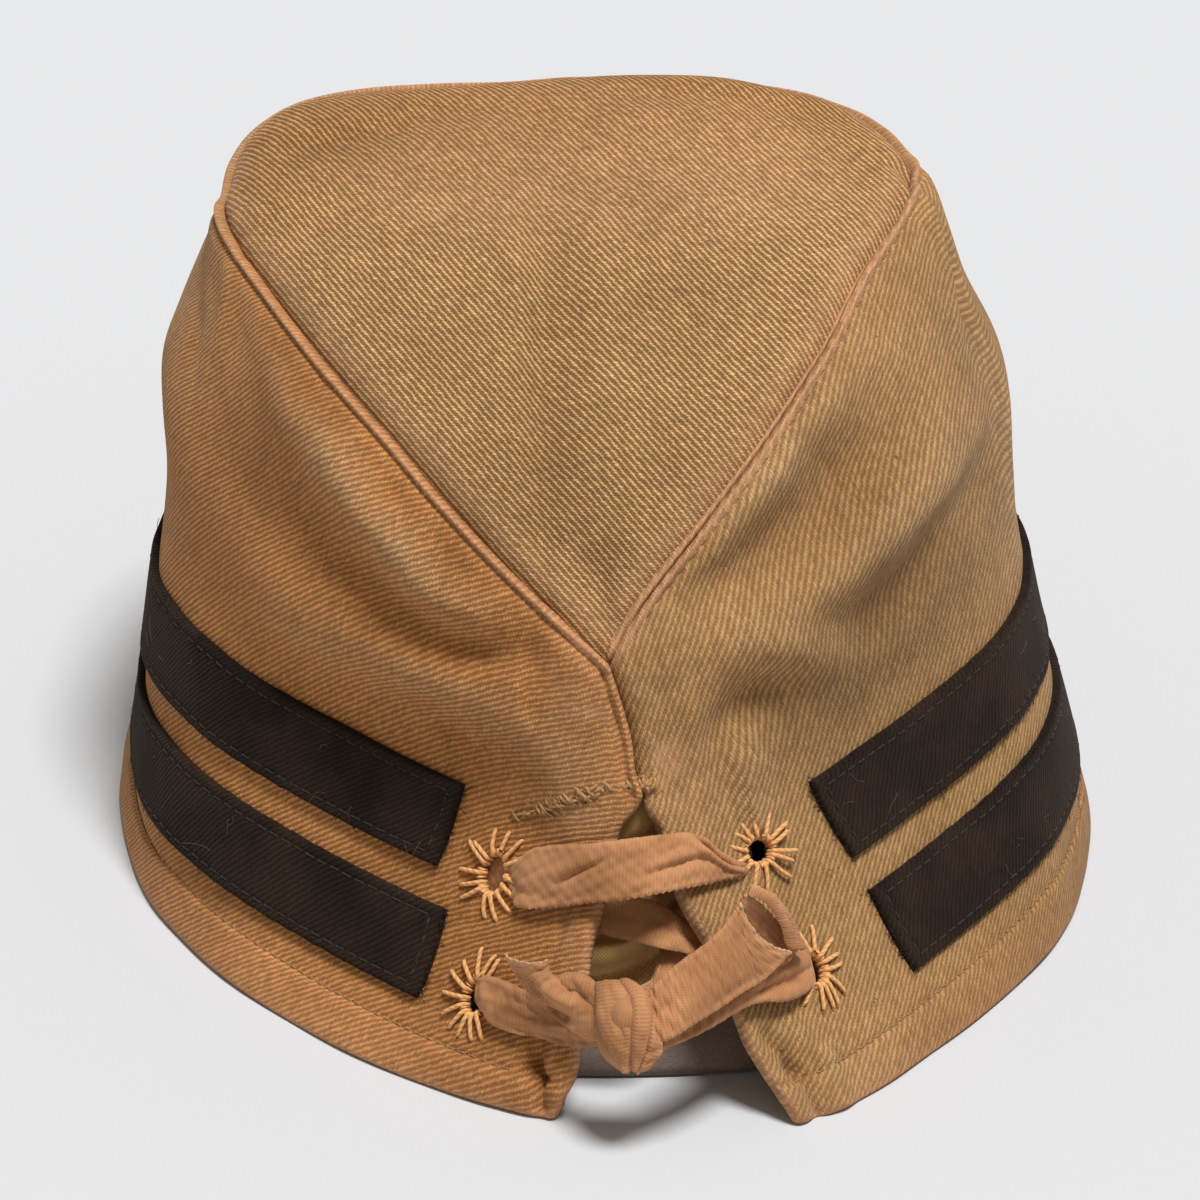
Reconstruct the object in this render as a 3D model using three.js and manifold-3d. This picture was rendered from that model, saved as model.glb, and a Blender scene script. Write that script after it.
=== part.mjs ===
// A cotton field cap, seen best from behind: two side panels that meet at the back seam and at the front
// centre, a top panel that runs down to a point at the back, two dark stripes round the sides, a laced slit
// at the back, a sweatband inside and a soft peak in front.
//
// Frame: millimetres, +Z up, +Y towards the peak, +X to the wearer's right. The cap rests on its rim at z = 0.
//
// Every piece is placed on one curved surface, the outside of the cloth. A place on it is a turn and a level.
// The turn is an angle in degrees: 0 at the back, 90 at the right, 180 at the front, -90 at the left.
// The level counts the rows of SECTIONS from the rim, 0, to the crown point, 7.

import * as THREE from "three";
import { mergeVertices } from "three/addons/utils/BufferGeometryUtils.js";
import Module from "manifold-3d";

const wasm = await Module();
wasm.setup();

// Sections of the cap. Each is a rounded outline with a back half and a front half.
// Columns: centre x, half width, back y, front y, back z, side z, front z, back roundness, front roundness.
// A roundness of 2 is an ellipse, less is more pointed and more is squarer.
const SECTIONS = [
  [0.2, 81, -118.5, 77.5, 0, 0, 16, 1.8, 2.0], // rim
  [-0.3, 78, -119.5, 75.5, 14.5, 9.5, 34, 1.35, 2.1], // hem
  [-3.3, 72, -100.5, 72.5, 40.5, 45.5, 56, 1.3, 2.2], // upper stripe
  [-3.8, 67, -91, 68.5, 68, 73, 77, 1.85, 2.3], // point of the top panel
  [-3.8, 61, -78.5, 61.5, 89, 92, 94, 2.1, 2.4], // shoulder
  [-3.8, 55, -60.5, 48.5, 103, 104.5, 100.5, 2.2, 2.5], // edge of the top
  [-2.8, 40.5, -39.5, 26.5, 112, 108.5, 112, 2.1, 2.2], // top
  [-4.8, 0, -4.5, -4.5, 112.5, 112.5, 112.5, 2.0, 2.0], // crown point
];
const TOP_LEVEL = SECTIONS.length - 1;
const CENTRE_SHARE = 0.52; // where between back and front the widest line of a section lies

// Wide swellings of the cloth. Columns: turn, level, width in degrees, width in levels, height.
const SWELLINGS = [
  [-128, 5.0, 22, 0.7, 0.9],
  [150, 5.7, 28, 0.7, 1.3],
  [-90, 3.4, 28, 0.9, -0.6],
  [95, 1.2, 24, 0.9, 0.6],
  [17, 0.0, 12, 0.55, 4.0],
];

// Folds, each a straight run between two places. Columns: turn, level, turn, level, width, height.
// A valley has a height below zero, a ridge one above it.
const FOLDS = [
  [-58, 4.3, -20.5, 3.32, 5.0, 0.9], // ridge beside the left seam
  [-52.5, 3.47, -39.5, 3.08, 7.5, -2.0], // valley below it, in two runs
  [-39.5, 3.08, -18.5, 2.89, 6.0, -2.0],
  [-49, 2.76, -21.5, 2.69, 6.5, 1.3], // left ridge above the stripes
  [-32, 2.33, -23.5, 2.12, 4.0, -1.3], // short valley by the stripe's end
  [31, 4.14, 20, 3.6, 6.5, -1.8], // valley beside the right seam, in two runs
  [20, 3.6, 1.5, 3.15, 6.0, -1.6],
  [45.5, 3.39, -0.5, 2.98, 7.0, 1.3], // right ridge below it
  [63, 2.91, 28.5, 2.91, 6.5, -1.6], // long valley on the right side
  [25.5, 2.65, 13.5, 2.5, 5.5, -1.6], // valley above the right eyelet
  [-17.5, 6.5, -12.5, 3.64, 8.0, -0.9], // shallow valley down the top panel
  [-6.5, 3.54, -6, 3.23, 5.0, -1.0], // hollow in its point
];

// The seam round the top panel. Columns: turn, level.
const SEAM_LEFT = [
  [-180, 4.9],
  [-145, 4.85],
  [-110, 4.75],
  [-80, 4.74],
  [-58, 4.58],
  [-38.5, 4.17],
  [-24.5, 3.68],
  [-15, 3.3],
  [-5.5, 2.92],
];
const SEAM_RIGHT = [
  [-5.5, 2.92],
  [3.5, 3.45],
  [15, 4.05],
  [29.5, 4.72],
  [48.5, 5.31],
  [74.5, 5.5],
  [100, 5.35],
  [130, 5.1],
  [155, 4.95],
  [180, 4.9],
];
const POINT_TURN = -5.5;
const POINT_LEVEL = 2.92;

// The edges at the back: the open slit up to level 2.22, and the back seam above it.
// Columns: level, turn of the left panel's edge, turn of the right panel's edge.
const BACK_EDGES = [
  [0, -15.5, 16],
  [0.5, -18, 17],
  [0.93, -20, 16.3],
  [1.4, -17, 15.2],
  [1.7, -12.2, 9.8],
  [2.05, -4.5, 7],
  [2.22, 3, 3],
  [2.34, 0.5, 0.5],
  [2.49, -2.5, -2.5],
  [2.67, -4, -4],
  [POINT_LEVEL, POINT_TURN, POINT_TURN],
];

const CLOTH = 2; // twill and its lining together
const SEAM_GAP = 0.3; // each panel's share of the gap at a seam
const TOP_GAP_LEVELS = 0.022; // the same at the seam round the top panel
const RIM_FLAT_LEVELS = 0.3; // below this level the cloth's thickness lies level
const SIDE_COLUMNS = 34;
const SIDE_ROWS = 18;
const TOP_RINGS = 6;

// Stripes. Heights are measured along the cloth from the rim.
const STRIPE_GAP = 0.8;
const STRIPE_THICK = 1;
const STRIPE_COLUMNS = 48;
const STRIPE_ROWS = 3;
const STRIPES = {
  stripe_lower: { low: 13, high: 28, right: [38.5, 36.5], left: [324, 326] },
  stripe_upper: { low: 34, high: 49, right: [35.5, 31.5], left: [325, 329] },
};

// Eyelets. Columns: turn, level.
const EYELET_RADIUS = 2.4;
const EYELET_SIDES = 12;
const EYELETS = {
  upperLeft: [-28.5, 1.58],
  upperRight: [24.5, 1.72],
  lowerLeft: [-30, 0.99],
  lowerRight: [27.5, 1.16],
};

// Peak, sewn along the front of the rim. Its half spread is in degrees of turn.
const PEAK_SPREAD = 62;
const PEAK_REACH = 47;
const PEAK_END_REACH = 2;
const PEAK_THICK = 3;
const PEAK_TAPER = 0.85;
const PEAK_GAP = 0.35;
const PEAK_TIP_HEIGHT = 5;
const PEAK_REST_PACE = 2.6; // how fast its edge comes down from the tip to the surface, to each side
const PEAK_ARCH = 1.2; // how far the middle of its width stands above a straight slope
const PEAK_FORWARD = 0.62; // share of straight ahead in the way that it points, the rest fans out
const PEAK_COLUMNS = 26;
const PEAK_ROWS = 5;

// Sweatband, a loop inside the rim that crosses behind the slit.
const BAND_INSET = 3.4; // from the outside of the cloth to the band's outer face
const BAND_THICK = 1.4;
const BAND_LOW = 5; // heights along the cloth
const BAND_HIGH = 31;
const BAND_BACK_TURN = 34; // behind the slit, between these turns, it runs free of the cloth
const BAND_BACK_LOW = 3;
const BAND_BACK_HIGH = 17;
const BAND_BACK_LEAN = 6; // how far its upper edge leans in there
const BAND_BACK_PULL = 38;
const BAND_COLUMNS = 44;
const BAND_BACK_COLUMNS = 10;
const BAND_ROWS = 2;

// Lining that shows behind the slit, above the sweatband.
const LINING_X = [-17, 8];
const LINING_Y = -88.5; // at its two ends
const LINING_Z = [19, 36];
const LINING_THICK = 1.2;
const LINING_FOLD = 1.3;
const LINING_FOLDS = 2.5;
const LINING_BOW = 8;
const LINING_COLUMNS = 14;
const LINING_ROWS = 6;

// Lace, a flat tape.
const TAPE_WIDTH = 10;
const TAPE_THICK = 0.8;
const TAPE_PINCH = 3;
const TAPE_LIFT = 1.2; // from the cloth to the middle of the tape, where it lies flat
const TAPE_INSIDE = -3.6; // the same inside the cap
const STRAND_THICK = 1.8;

// Outer runs of tape. Columns: turn, level, lift, width.
const TAPE_RUNS = {
  across: [
    [-28.5, 1.58, TAPE_LIFT, TAPE_PINCH],
    [-26, 1.63, TAPE_LIFT, 7],
    [-22, 1.7, 1.3, TAPE_WIDTH],
    [-13.5, 1.8, 1.5, TAPE_WIDTH],
    [-5, 1.86, 2.2, TAPE_WIDTH],
    [3, 1.88, 2.4, TAPE_WIDTH],
    [10, 1.86, 1.8, TAPE_WIDTH],
    [17, 1.78, 1.3, TAPE_WIDTH],
    [21.5, 1.72, TAPE_LIFT, 7.5],
    [24.5, 1.72, TAPE_LIFT, TAPE_PINCH],
  ],
  lowerLeft: [
    [-30, 0.99, TAPE_LIFT, TAPE_PINCH],
    [-28, 1.0, TAPE_LIFT, 7],
    [-24, 1.05, 1.3, TAPE_WIDTH],
    [-17, 1.1, 2.4, TAPE_WIDTH],
    [-9.5, 1.12, 4.0, 8],
  ],
  lowerRight: [
    [27.5, 1.16, TAPE_LIFT, TAPE_PINCH],
    [25, 1.15, 1.4, 7],
    [20, 1.12, 2.2, TAPE_WIDTH],
    [12, 1.08, 3.0, TAPE_WIDTH],
    [-3, 1.08, 4.4, 8],
  ],
  tailRight: [
    [-6, 1.1, 5.2, 8],
    [4, 1.13, 5.6, TAPE_WIDTH],
    [14, 1.24, 5.6, TAPE_WIDTH],
    [20.5, 1.4, 6.4, TAPE_WIDTH],
    [23.0, 1.5, 7.0, 9],
  ],
  tailLeft: [
    [-8, 1.14, 5.2, 6],
    [-16, 1.16, 5.4, 8],
    [-21.5, 1.24, 5.2, 7],
    [-24.5, 1.38, 5.6, 6],
  ],
};

// Inner runs between two eyelets, as the way that their middle sags from a straight line. Columns: x, y, z.
const INNER_RUNS = {
  fallingRight: { from: "upperLeft", to: "lowerRight", sag: [0, -7.5, -2] },
  fallingLeft: { from: "upperRight", to: "lowerLeft", sag: [0, -7.5, -2] },
};
const INNER_WIDTH = 7;
const INNER_STEPS = 8;

const KNOT = { turn: -7.5, level: 1.08, lift: 4.6, width: 12, height: 14, depth: 7.5 };

const CLOTH_COLOUR = 0xa57f57;
const STRIPE_COLOUR = 0x2b2622;
const TAPE_COLOUR = 0xaf7b51;
const BAND_COLOUR = 0x4d4039;
const LINING_COLOUR = 0x86704a;

const radians = (degrees) => (degrees * Math.PI) / 180;
const mix = (a, b, share) => a + (b - a) * share;

// A smooth curve through a table's rows, read at x in its first column. Ends are held.
function smooth(table, x, column = 1) {
  const last = table.length - 1;
  if (x <= table[0][0]) return table[0][column];
  if (x >= table[last][0]) return table[last][column];
  let i = 0;
  while (x > table[i + 1][0]) i += 1;
  const slope = (k) => {
    const before = table[Math.max(k - 1, 0)];
    const after = table[Math.min(k + 1, last)];
    return (after[column] - before[column]) / (after[0] - before[0]);
  };
  const span = table[i + 1][0] - table[i][0];
  const t = (x - table[i][0]) / span;
  return (
    table[i][column] * (2 * t ** 3 - 3 * t ** 2 + 1) +
    slope(i) * span * (t ** 3 - 2 * t ** 2 + t) +
    table[i + 1][column] * (3 * t ** 2 - 2 * t ** 3) +
    slope(i + 1) * span * (t ** 3 - t ** 2)
  );
}

// The section before the rim continues the slope, and the one past the crown point is the top's mirror image.
const first = SECTIONS[0];
const top = SECTIONS[TOP_LEVEL - 1];
const crown = SECTIONS[TOP_LEVEL];
const belowRim = first.map((value, column) => 2 * value - SECTIONS[1][column]);
const pastCrown = [
  2 * crown[0] - top[0], -top[1], top[3], top[2], top[6], top[5], top[4], top[7], top[8],
];
const ROWS = [belowRim, ...SECTIONS, pastCrown];

function sectionAt(level) {
  const held = Math.min(Math.max(level, 0), TOP_LEVEL - 1e-9);
  const i = Math.floor(held);
  const t = held - i;
  return SECTIONS[0].map((_, column) => {
    const [a, b, c, d] = ROWS.slice(i, i + 4).map((row) => row[column]);
    return 0.5 * (2 * b + (c - a) * t + (2 * a - 5 * b + 4 * c - d) * t * t + (3 * b - a - 3 * c + d) * t ** 3);
  });
}

const turnBetween = (a, b) => ((((a - b + 180) % 360) + 360) % 360) - 180;

// The outside of the cloth before the folds.
function plainPlace(turn, level) {
  const [cx, half, backY, frontY, backZ, sideZ, frontZ, backPower, frontPower] = sectionAt(level);
  const s = Math.sin(radians(turn));
  const c = Math.cos(radians(turn));
  const atBack = c >= 0;
  const power = 2 + ((atBack ? backPower : frontPower) - 2) * (1 - Math.abs(s) ** 6);
  const cy = mix(backY, frontY, CENTRE_SHARE);
  const reach = atBack ? cy - backY : frontY - cy;
  const across = Math.max(half, 0) * Math.sign(s) * Math.abs(s) ** (2 / power);
  const along = -reach * Math.sign(c) * Math.abs(c) ** (2 / power);
  const z = sideZ * (1 - c * c) + (atBack ? backZ : frontZ) * c * c;
  const swell = SWELLINGS.reduce((sum, [turn0, level0, wide, tall, height]) => {
    const away = (turnBetween(turn, turn0) / wide) ** 2 + ((level - level0) / tall) ** 2;
    return sum + height * Math.exp(-away);
  }, 0);
  const tilt = (Math.min(Math.max((level - 3.5) / 3, 0), 1) * Math.PI) / 2;
  const out = new THREE.Vector3(across, along, 0).normalize().multiplyScalar(Math.cos(tilt));
  out.z = Math.sin(tilt);
  return new THREE.Vector3(cx + across, cy + along, z).addScaledVector(out, swell);
}

const TURN_STEP = 0.7;
const LEVEL_STEP = 0.02;
function normalOf(placeOf, turn, level) {
  const low = Math.max(level - LEVEL_STEP, 0);
  const high = Math.min(level + LEVEL_STEP, TOP_LEVEL - 0.05);
  const around = placeOf(turn + TURN_STEP, level).sub(placeOf(turn - TURN_STEP, level));
  const upward = placeOf(turn, high).sub(placeOf(turn, Math.min(low, high - LEVEL_STEP)));
  return around.cross(upward).normalize();
}

const foldLines = FOLDS.map(([turnA, levelA, turnB, levelB, wide, height]) => ({
  line: new THREE.Line3(plainPlace(turnA, levelA), plainPlace(turnB, levelB)),
  wide,
  height,
}));
const nearest = new THREE.Vector3();

// The outside of the cloth with its folds.
function clothPlace(turn, level) {
  const place = plainPlace(turn, level);
  let height = 0;
  for (const fold of foldLines) {
    fold.line.closestPointToPoint(place, true, nearest);
    height += fold.height * Math.exp(-((nearest.distanceTo(place) / fold.wide) ** 2));
  }
  if (Math.abs(height) < 1e-3) return place;
  return place.addScaledVector(normalOf(plainPlace, turn, level), height);
}

// A place off the cloth: lift is outwards, and below zero it is inside the cap.
function place(turn, level, lift = 0) {
  const point = clothPlace(turn, level);
  if (lift === 0) return point;
  const normal = level > TOP_LEVEL - 0.05 ? new THREE.Vector3(0, 0, 1) : normalOf(clothPlace, turn, level);
  normal.z *= Math.min(level / RIM_FLAT_LEVELS, 1);
  return point.addScaledVector(normal.normalize(), lift);
}

// The level that lies a given length of cloth above the rim.
const HEIGHT_STEP = 0.05;
function levelAt(turn, height) {
  let from = plainPlace(turn, 0);
  let gone = 0;
  for (let level = HEIGHT_STEP; level < TOP_LEVEL; level += HEIGHT_STEP) {
    const to = plainPlace(turn, level);
    const step = to.distanceTo(from);
    if (gone + step >= height) return level - HEIGHT_STEP * (1 - (height - gone) / step);
    gone += step;
    from = to;
  }
  return TOP_LEVEL;
}

function meshOf(points, triangles) {
  const geometry = new THREE.BufferGeometry().setFromPoints(points);
  geometry.setIndex(triangles.flat());
  return geometry;
}

// A closed sheet between two grids of points, outer and inner, each grid[column][row].
// Columns run anticlockwise and rows upwards, seen from outside.
function sheet(outer, inner) {
  const columns = outer.length;
  const rows = outer[0].length;
  const points = [...outer.flat(), ...inner.flat()];
  const half = columns * rows;
  const at = (i, j, side) => side * half + i * rows + j;
  const triangles = [];
  const quad = (a, b, c, d) => triangles.push([a, b, c], [a, c, d]);
  for (let i = 0; i < columns - 1; i += 1) {
    for (let j = 0; j < rows - 1; j += 1) {
      quad(at(i, j, 0), at(i + 1, j, 0), at(i + 1, j + 1, 0), at(i, j + 1, 0));
      quad(at(i, j, 1), at(i, j + 1, 1), at(i + 1, j + 1, 1), at(i + 1, j, 1));
    }
    quad(at(i, 0, 1), at(i + 1, 0, 1), at(i + 1, 0, 0), at(i, 0, 0));
    quad(at(i, rows - 1, 0), at(i + 1, rows - 1, 0), at(i + 1, rows - 1, 1), at(i, rows - 1, 1));
  }
  for (let j = 0; j < rows - 1; j += 1) {
    quad(at(0, j, 1), at(0, j, 0), at(0, j + 1, 0), at(0, j + 1, 1));
    quad(at(columns - 1, j, 0), at(columns - 1, j, 1), at(columns - 1, j + 1, 1), at(columns - 1, j + 1, 0));
  }
  return meshOf(points, triangles);
}

const solidOf = (geometry) => {
  const bare = geometry.clone();
  bare.deleteAttribute("normal");
  bare.deleteAttribute("uv");
  const merged = mergeVertices(bare, 1e-4);
  const mesh = new wasm.Mesh({
    numProp: 3,
    vertProperties: merged.attributes.position.array,
    triVerts: new Uint32Array(merged.index.array),
  });
  return new wasm.Manifold(mesh);
};

function geometryOf(solid) {
  const mesh = solid.getMesh();
  const geometry = new THREE.BufferGeometry();
  geometry.setAttribute("position", new THREE.BufferAttribute(mesh.vertProperties, 3));
  geometry.setIndex(new THREE.BufferAttribute(mesh.triVerts, 1));
  return geometry;
}

// A side panel, from one vertical edge to the other, up to the seam round the top panel.
function sidePanel(side) {
  const left = side === "left";
  const edgeColumn = left ? 1 : 2;
  const seam = left ? SEAM_LEFT : SEAM_RIGHT;
  const front = left ? -180 : 180;
  const outer = [];
  const inner = [];
  for (let i = 0; i <= SIDE_COLUMNS; i += 1) {
    const share = left ? 1 - i / SIDE_COLUMNS : i / SIDE_COLUMNS; // 0 at the back, 1 at the front
    const topLevel = smooth(seam, mix(POINT_TURN, front, share));
    const shift = share === 0 || share === 1 ? (left ? -SEAM_GAP : SEAM_GAP) : 0;
    const outerColumn = [];
    const innerColumn = [];
    for (let j = 0; j <= SIDE_ROWS; j += 1) {
      const level = (topLevel * j) / SIDE_ROWS;
      const turn = mix(smooth(BACK_EDGES, level, edgeColumn), front, share);
      outerColumn.push(place(turn, level));
      innerColumn.push(place(turn, level, -CLOTH));
      outerColumn[j].x += shift;
      innerColumn[j].x += shift;
    }
    outer.push(outerColumn);
    inner.push(innerColumn);
  }
  let solid = solidOf(sheet(outer, inner));
  const names = left ? ["upperLeft", "lowerLeft"] : ["upperRight", "lowerRight"];
  for (const name of names) solid = solid.subtract(solidOf(eyeletCutter(...EYELETS[name])));
  return geometryOf(solid);
}

function eyeletCutter(turn, level) {
  const cutter = new THREE.CylinderGeometry(EYELET_RADIUS, EYELET_RADIUS, 4 * CLOTH, EYELET_SIDES);
  const normal = normalOf(clothPlace, turn, level);
  const stand = new THREE.Quaternion().setFromUnitVectors(new THREE.Vector3(0, 1, 0), normal);
  const centre = place(turn, level, -CLOTH / 2);
  return cutter.applyQuaternion(stand).translate(centre.x, centre.y, centre.z);
}

// The top panel is a fan of columns from its seam to the crown point.
function topPanel() {
  const turns = [];
  for (let i = 0; i < SIDE_COLUMNS; i += 1) turns.push(mix(POINT_TURN, 180, i / SIDE_COLUMNS));
  for (let i = 0; i < SIDE_COLUMNS; i += 1) turns.push(mix(180, POINT_TURN + 360, i / SIDE_COLUMNS));
  const points = [];
  const addRings = (lift) => {
    for (let ring = 0; ring < TOP_RINGS; ring += 1) {
      for (const turn of turns) {
        const seamLevel = turn <= 180 ? smooth(SEAM_RIGHT, turn) : smooth(SEAM_LEFT, turn - 360);
        const level = mix(seamLevel + TOP_GAP_LEVELS, TOP_LEVEL, ring / TOP_RINGS);
        points.push(place(turn, level, lift));
      }
    }
    points.push(place(0, TOP_LEVEL, lift));
  };
  addRings(0);
  addRings(-CLOTH);
  const count = turns.length;
  const half = TOP_RINGS * count + 1;
  const triangles = [];
  for (let i = 0; i < count; i += 1) {
    const next = (i + 1) % count;
    for (let ring = 0; ring < TOP_RINGS - 1; ring += 1) {
      const [a, b] = [ring * count + i, ring * count + next];
      const [c, d] = [b + count, a + count];
      triangles.push([a, b, c], [a, c, d]);
      triangles.push([a + half, c + half, b + half], [a + half, d + half, c + half]);
    }
    const last = (TOP_RINGS - 1) * count;
    triangles.push([last + i, last + next, half - 1]);
    triangles.push([last + next + half, last + i + half, 2 * half - 1]);
    triangles.push([i + half, next + half, next], [i + half, next, i]);
  }
  return meshOf(points, triangles);
}

// A stripe runs from its right end round the front to its left end, just off the cloth.
function stripe({ low, high, right, left }) {
  const outer = [];
  const inner = [];
  for (let i = 0; i <= STRIPE_COLUMNS; i += 1) {
    const outerColumn = [];
    const innerColumn = [];
    for (let j = 0; j <= STRIPE_ROWS; j += 1) {
      const up = j / STRIPE_ROWS;
      const turn = mix(mix(right[0], right[1], up), mix(left[0], left[1], up), i / STRIPE_COLUMNS);
      const level = levelAt(turn, mix(low, high, up));
      outerColumn.push(place(turn, level, STRIPE_GAP + STRIPE_THICK));
      innerColumn.push(place(turn, level, STRIPE_GAP));
    }
    outer.push(outerColumn);
    inner.push(innerColumn);
  }
  return sheet(outer, inner);
}

// The peak's upper and lower faces, from the rim forwards. It rests on two places of its outer edge.
function peak() {
  const upper = [];
  const lower = [];
  for (let i = 0; i <= PEAK_COLUMNS; i += 1) {
    const across = mix(-1, 1, i / PEAK_COLUMNS);
    const turn = 180 - PEAK_SPREAD * across;
    const root = place(turn, 0, PEAK_GAP);
    const rootTop = place(turn, levelAt(turn, PEAK_THICK), PEAK_GAP);
    const radial = normalOf(plainPlace, turn, 0).setZ(0).normalize();
    const forward = new THREE.Vector3(0, 1, 0);
    const way = radial.multiplyScalar(1 - PEAK_FORWARD).addScaledVector(forward, PEAK_FORWARD).normalize();
    const reach = mix(PEAK_END_REACH, PEAK_REACH, Math.max(Math.cos((Math.PI * across) / 2), 0) ** PEAK_TAPER);
    const rest = Math.min(root.z, PEAK_TIP_HEIGHT * Math.max(Math.cos(PEAK_REST_PACE * across), 0));
    const upperColumn = [];
    const lowerColumn = [];
    for (let j = 0; j <= PEAK_ROWS; j += 1) {
      const out = j / PEAK_ROWS;
      const point = root.clone().addScaledVector(way, reach * out);
      point.z = mix(root.z, rest, out) + PEAK_ARCH * Math.sin(Math.PI * out) * (reach / PEAK_REACH);
      lowerColumn.push(point);
      upperColumn.push(point.clone().setZ(point.z + PEAK_THICK));
    }
    upperColumn[0].copy(rootTop);
    upper.push(upperColumn);
    lower.push(lowerColumn);
  }
  return sheet(upper, lower);
}

// The sweatband follows the inside of the cloth, and crosses behind the slit in one free curve.
function sweatband() {
  const bandPlace = (turn, up, inset) => place(turn, levelAt(turn, mix(BAND_LOW, BAND_HIGH, up)), -inset);
  const columnAt = (turn, inset) => {
    const column = [];
    for (let j = 0; j <= BAND_ROWS; j += 1) column.push(bandPlace(turn, j / BAND_ROWS, inset));
    return column;
  };
  const loop = (inset) => {
    const columns = [];
    for (let i = 0; i <= BAND_COLUMNS; i += 1) {
      columns.push(columnAt(mix(BAND_BACK_TURN, 360 - BAND_BACK_TURN, i / BAND_COLUMNS), inset));
    }
    const start = columns[columns.length - 1];
    const end = columns[0];
    for (let i = 1; i < BAND_BACK_COLUMNS; i += 1) {
      const t = i / BAND_BACK_COLUMNS;
      const middle = Math.sin(Math.PI * t);
      const column = start.map((from, j) => {
        const to = end[j];
        const pull = BAND_BACK_PULL * Math.SQRT1_2;
        const point = from.clone().lerp(to, t * t * (3 - 2 * t));
        const startPull = t ** 3 - 2 * t ** 2 + t;
        const endPull = t ** 3 - t ** 2;
        point.x += pull * (startPull + endPull);
        point.y -= pull * (startPull - endPull);
        const up = j / BAND_ROWS;
        point.y += BAND_BACK_LEAN * up * middle;
        point.z = mix(point.z, mix(BAND_BACK_LOW, BAND_BACK_HIGH, up), middle);
        return point;
      });
      columns.push(column);
    }
    return columns;
  };
  return ring(loop(BAND_INSET), loop(BAND_INSET + BAND_THICK));
}

// A closed loop of columns, as the sheet above but with its two ends joined.
function ring(outer, inner) {
  const columns = outer.length;
  const rows = outer[0].length;
  const points = [...outer.flat(), ...inner.flat()];
  const half = columns * rows;
  const at = (i, j, side) => side * half + (i % columns) * rows + j;
  const triangles = [];
  const quad = (a, b, c, d) => triangles.push([a, b, c], [a, c, d]);
  for (let i = 0; i < columns; i += 1) {
    for (let j = 0; j < rows - 1; j += 1) {
      quad(at(i, j, 0), at(i + 1, j, 0), at(i + 1, j + 1, 0), at(i, j + 1, 0));
      quad(at(i, j, 1), at(i, j + 1, 1), at(i + 1, j + 1, 1), at(i + 1, j, 1));
    }
    quad(at(i, 0, 1), at(i + 1, 0, 1), at(i + 1, 0, 0), at(i, 0, 0));
    quad(at(i, rows - 1, 0), at(i + 1, rows - 1, 0), at(i + 1, rows - 1, 1), at(i, rows - 1, 1));
  }
  return meshOf(points, triangles);
}

// A short curtain of lining with lengthwise folds, behind the slit.
function slitLining() {
  const face = (back) => {
    const columns = [];
    for (let i = 0; i <= LINING_COLUMNS; i += 1) {
      const across = i / LINING_COLUMNS;
      const column = [];
      for (let j = 0; j <= LINING_ROWS; j += 1) {
        const up = j / LINING_ROWS;
        const fold = LINING_FOLD * Math.sin(2 * Math.PI * LINING_FOLDS * (up + 0.15 * across));
        const bow = LINING_BOW * (1 - (2 * across - 1) ** 2);
        const y = LINING_Y - bow - fold + back;
        column.push(new THREE.Vector3(mix(...LINING_X, across), y, mix(...LINING_Z, up)));
      }
      columns.push(column);
    }
    return columns;
  };
  return sheet(face(0), face(LINING_THICK));
}

// A flat tape through stations, each with a point, the way that its face looks, and a width.
function tape(stations, thick = TAPE_THICK) {
  const points = [];
  stations.forEach(({ point, face, width }, i) => {
    const before = stations[Math.max(i - 1, 0)].point;
    const after = stations[Math.min(i + 1, stations.length - 1)].point;
    const along = after.clone().sub(before).normalize();
    const side = along.clone().cross(face).normalize();
    const flat = side.clone().cross(along).normalize();
    for (const [across, out] of [[-1, -1], [1, -1], [1, 1], [-1, 1]]) {
      const corner = point.clone().addScaledVector(side, (across * width) / 2);
      points.push(corner.addScaledVector(flat, (out * thick) / 2));
    }
  });
  const triangles = [[0, 2, 1], [0, 3, 2]];
  const last = 4 * (stations.length - 1);
  triangles.push([last, last + 1, last + 2], [last, last + 2, last + 3]);
  for (let i = 0; i < last; i += 4) {
    for (let k = 0; k < 4; k += 1) {
      const [a, b] = [i + k, i + ((k + 1) % 4)];
      triangles.push([a, b, b + 4], [a, b + 4, a + 4]);
    }
  }
  const geometry = meshOf(points, triangles);
  if (solidOf(geometry).volume() > 0) return geometry;
  return meshOf(points, triangles.map(([a, b, c]) => [a, c, b]));
}

const stationsOf = (rows) =>
  rows.map(([turn, level, lift, width]) => ({
    point: place(turn, level, lift),
    face: normalOf(clothPlace, turn, level),
    width,
  }));

// The strand of gathered tape in an eyelet, straight through the cloth.
function strand([turn, level]) {
  const face = new THREE.Vector3(0, 0, 1);
  const stations = [TAPE_LIFT + TAPE_THICK / 2, TAPE_INSIDE - TAPE_THICK / 2].map((lift) => ({
    point: place(turn, level, lift),
    face,
    width: TAPE_PINCH,
  }));
  return tape(stations, STRAND_THICK);
}

function innerRun({ from, to, sag }) {
  const start = place(...EYELETS[from], TAPE_INSIDE);
  const end = place(...EYELETS[to], TAPE_INSIDE);
  const stations = [];
  for (let i = 0; i <= INNER_STEPS; i += 1) {
    const t = i / INNER_STEPS;
    const middle = Math.sin(Math.PI * t);
    const point = start.clone().lerp(end, t).addScaledVector(new THREE.Vector3(...sag), middle);
    stations.push({ point, face: new THREE.Vector3(0, -1, 0.4), width: mix(TAPE_PINCH, INNER_WIDTH, middle) });
  }
  return tape(stations);
}

function knot() {
  const lump = new THREE.SphereGeometry(0.5, 12, 8).scale(KNOT.width, KNOT.depth, KNOT.height);
  const centre = place(KNOT.turn, KNOT.level, KNOT.lift);
  return lump.translate(centre.x, centre.y, centre.z);
}

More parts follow.
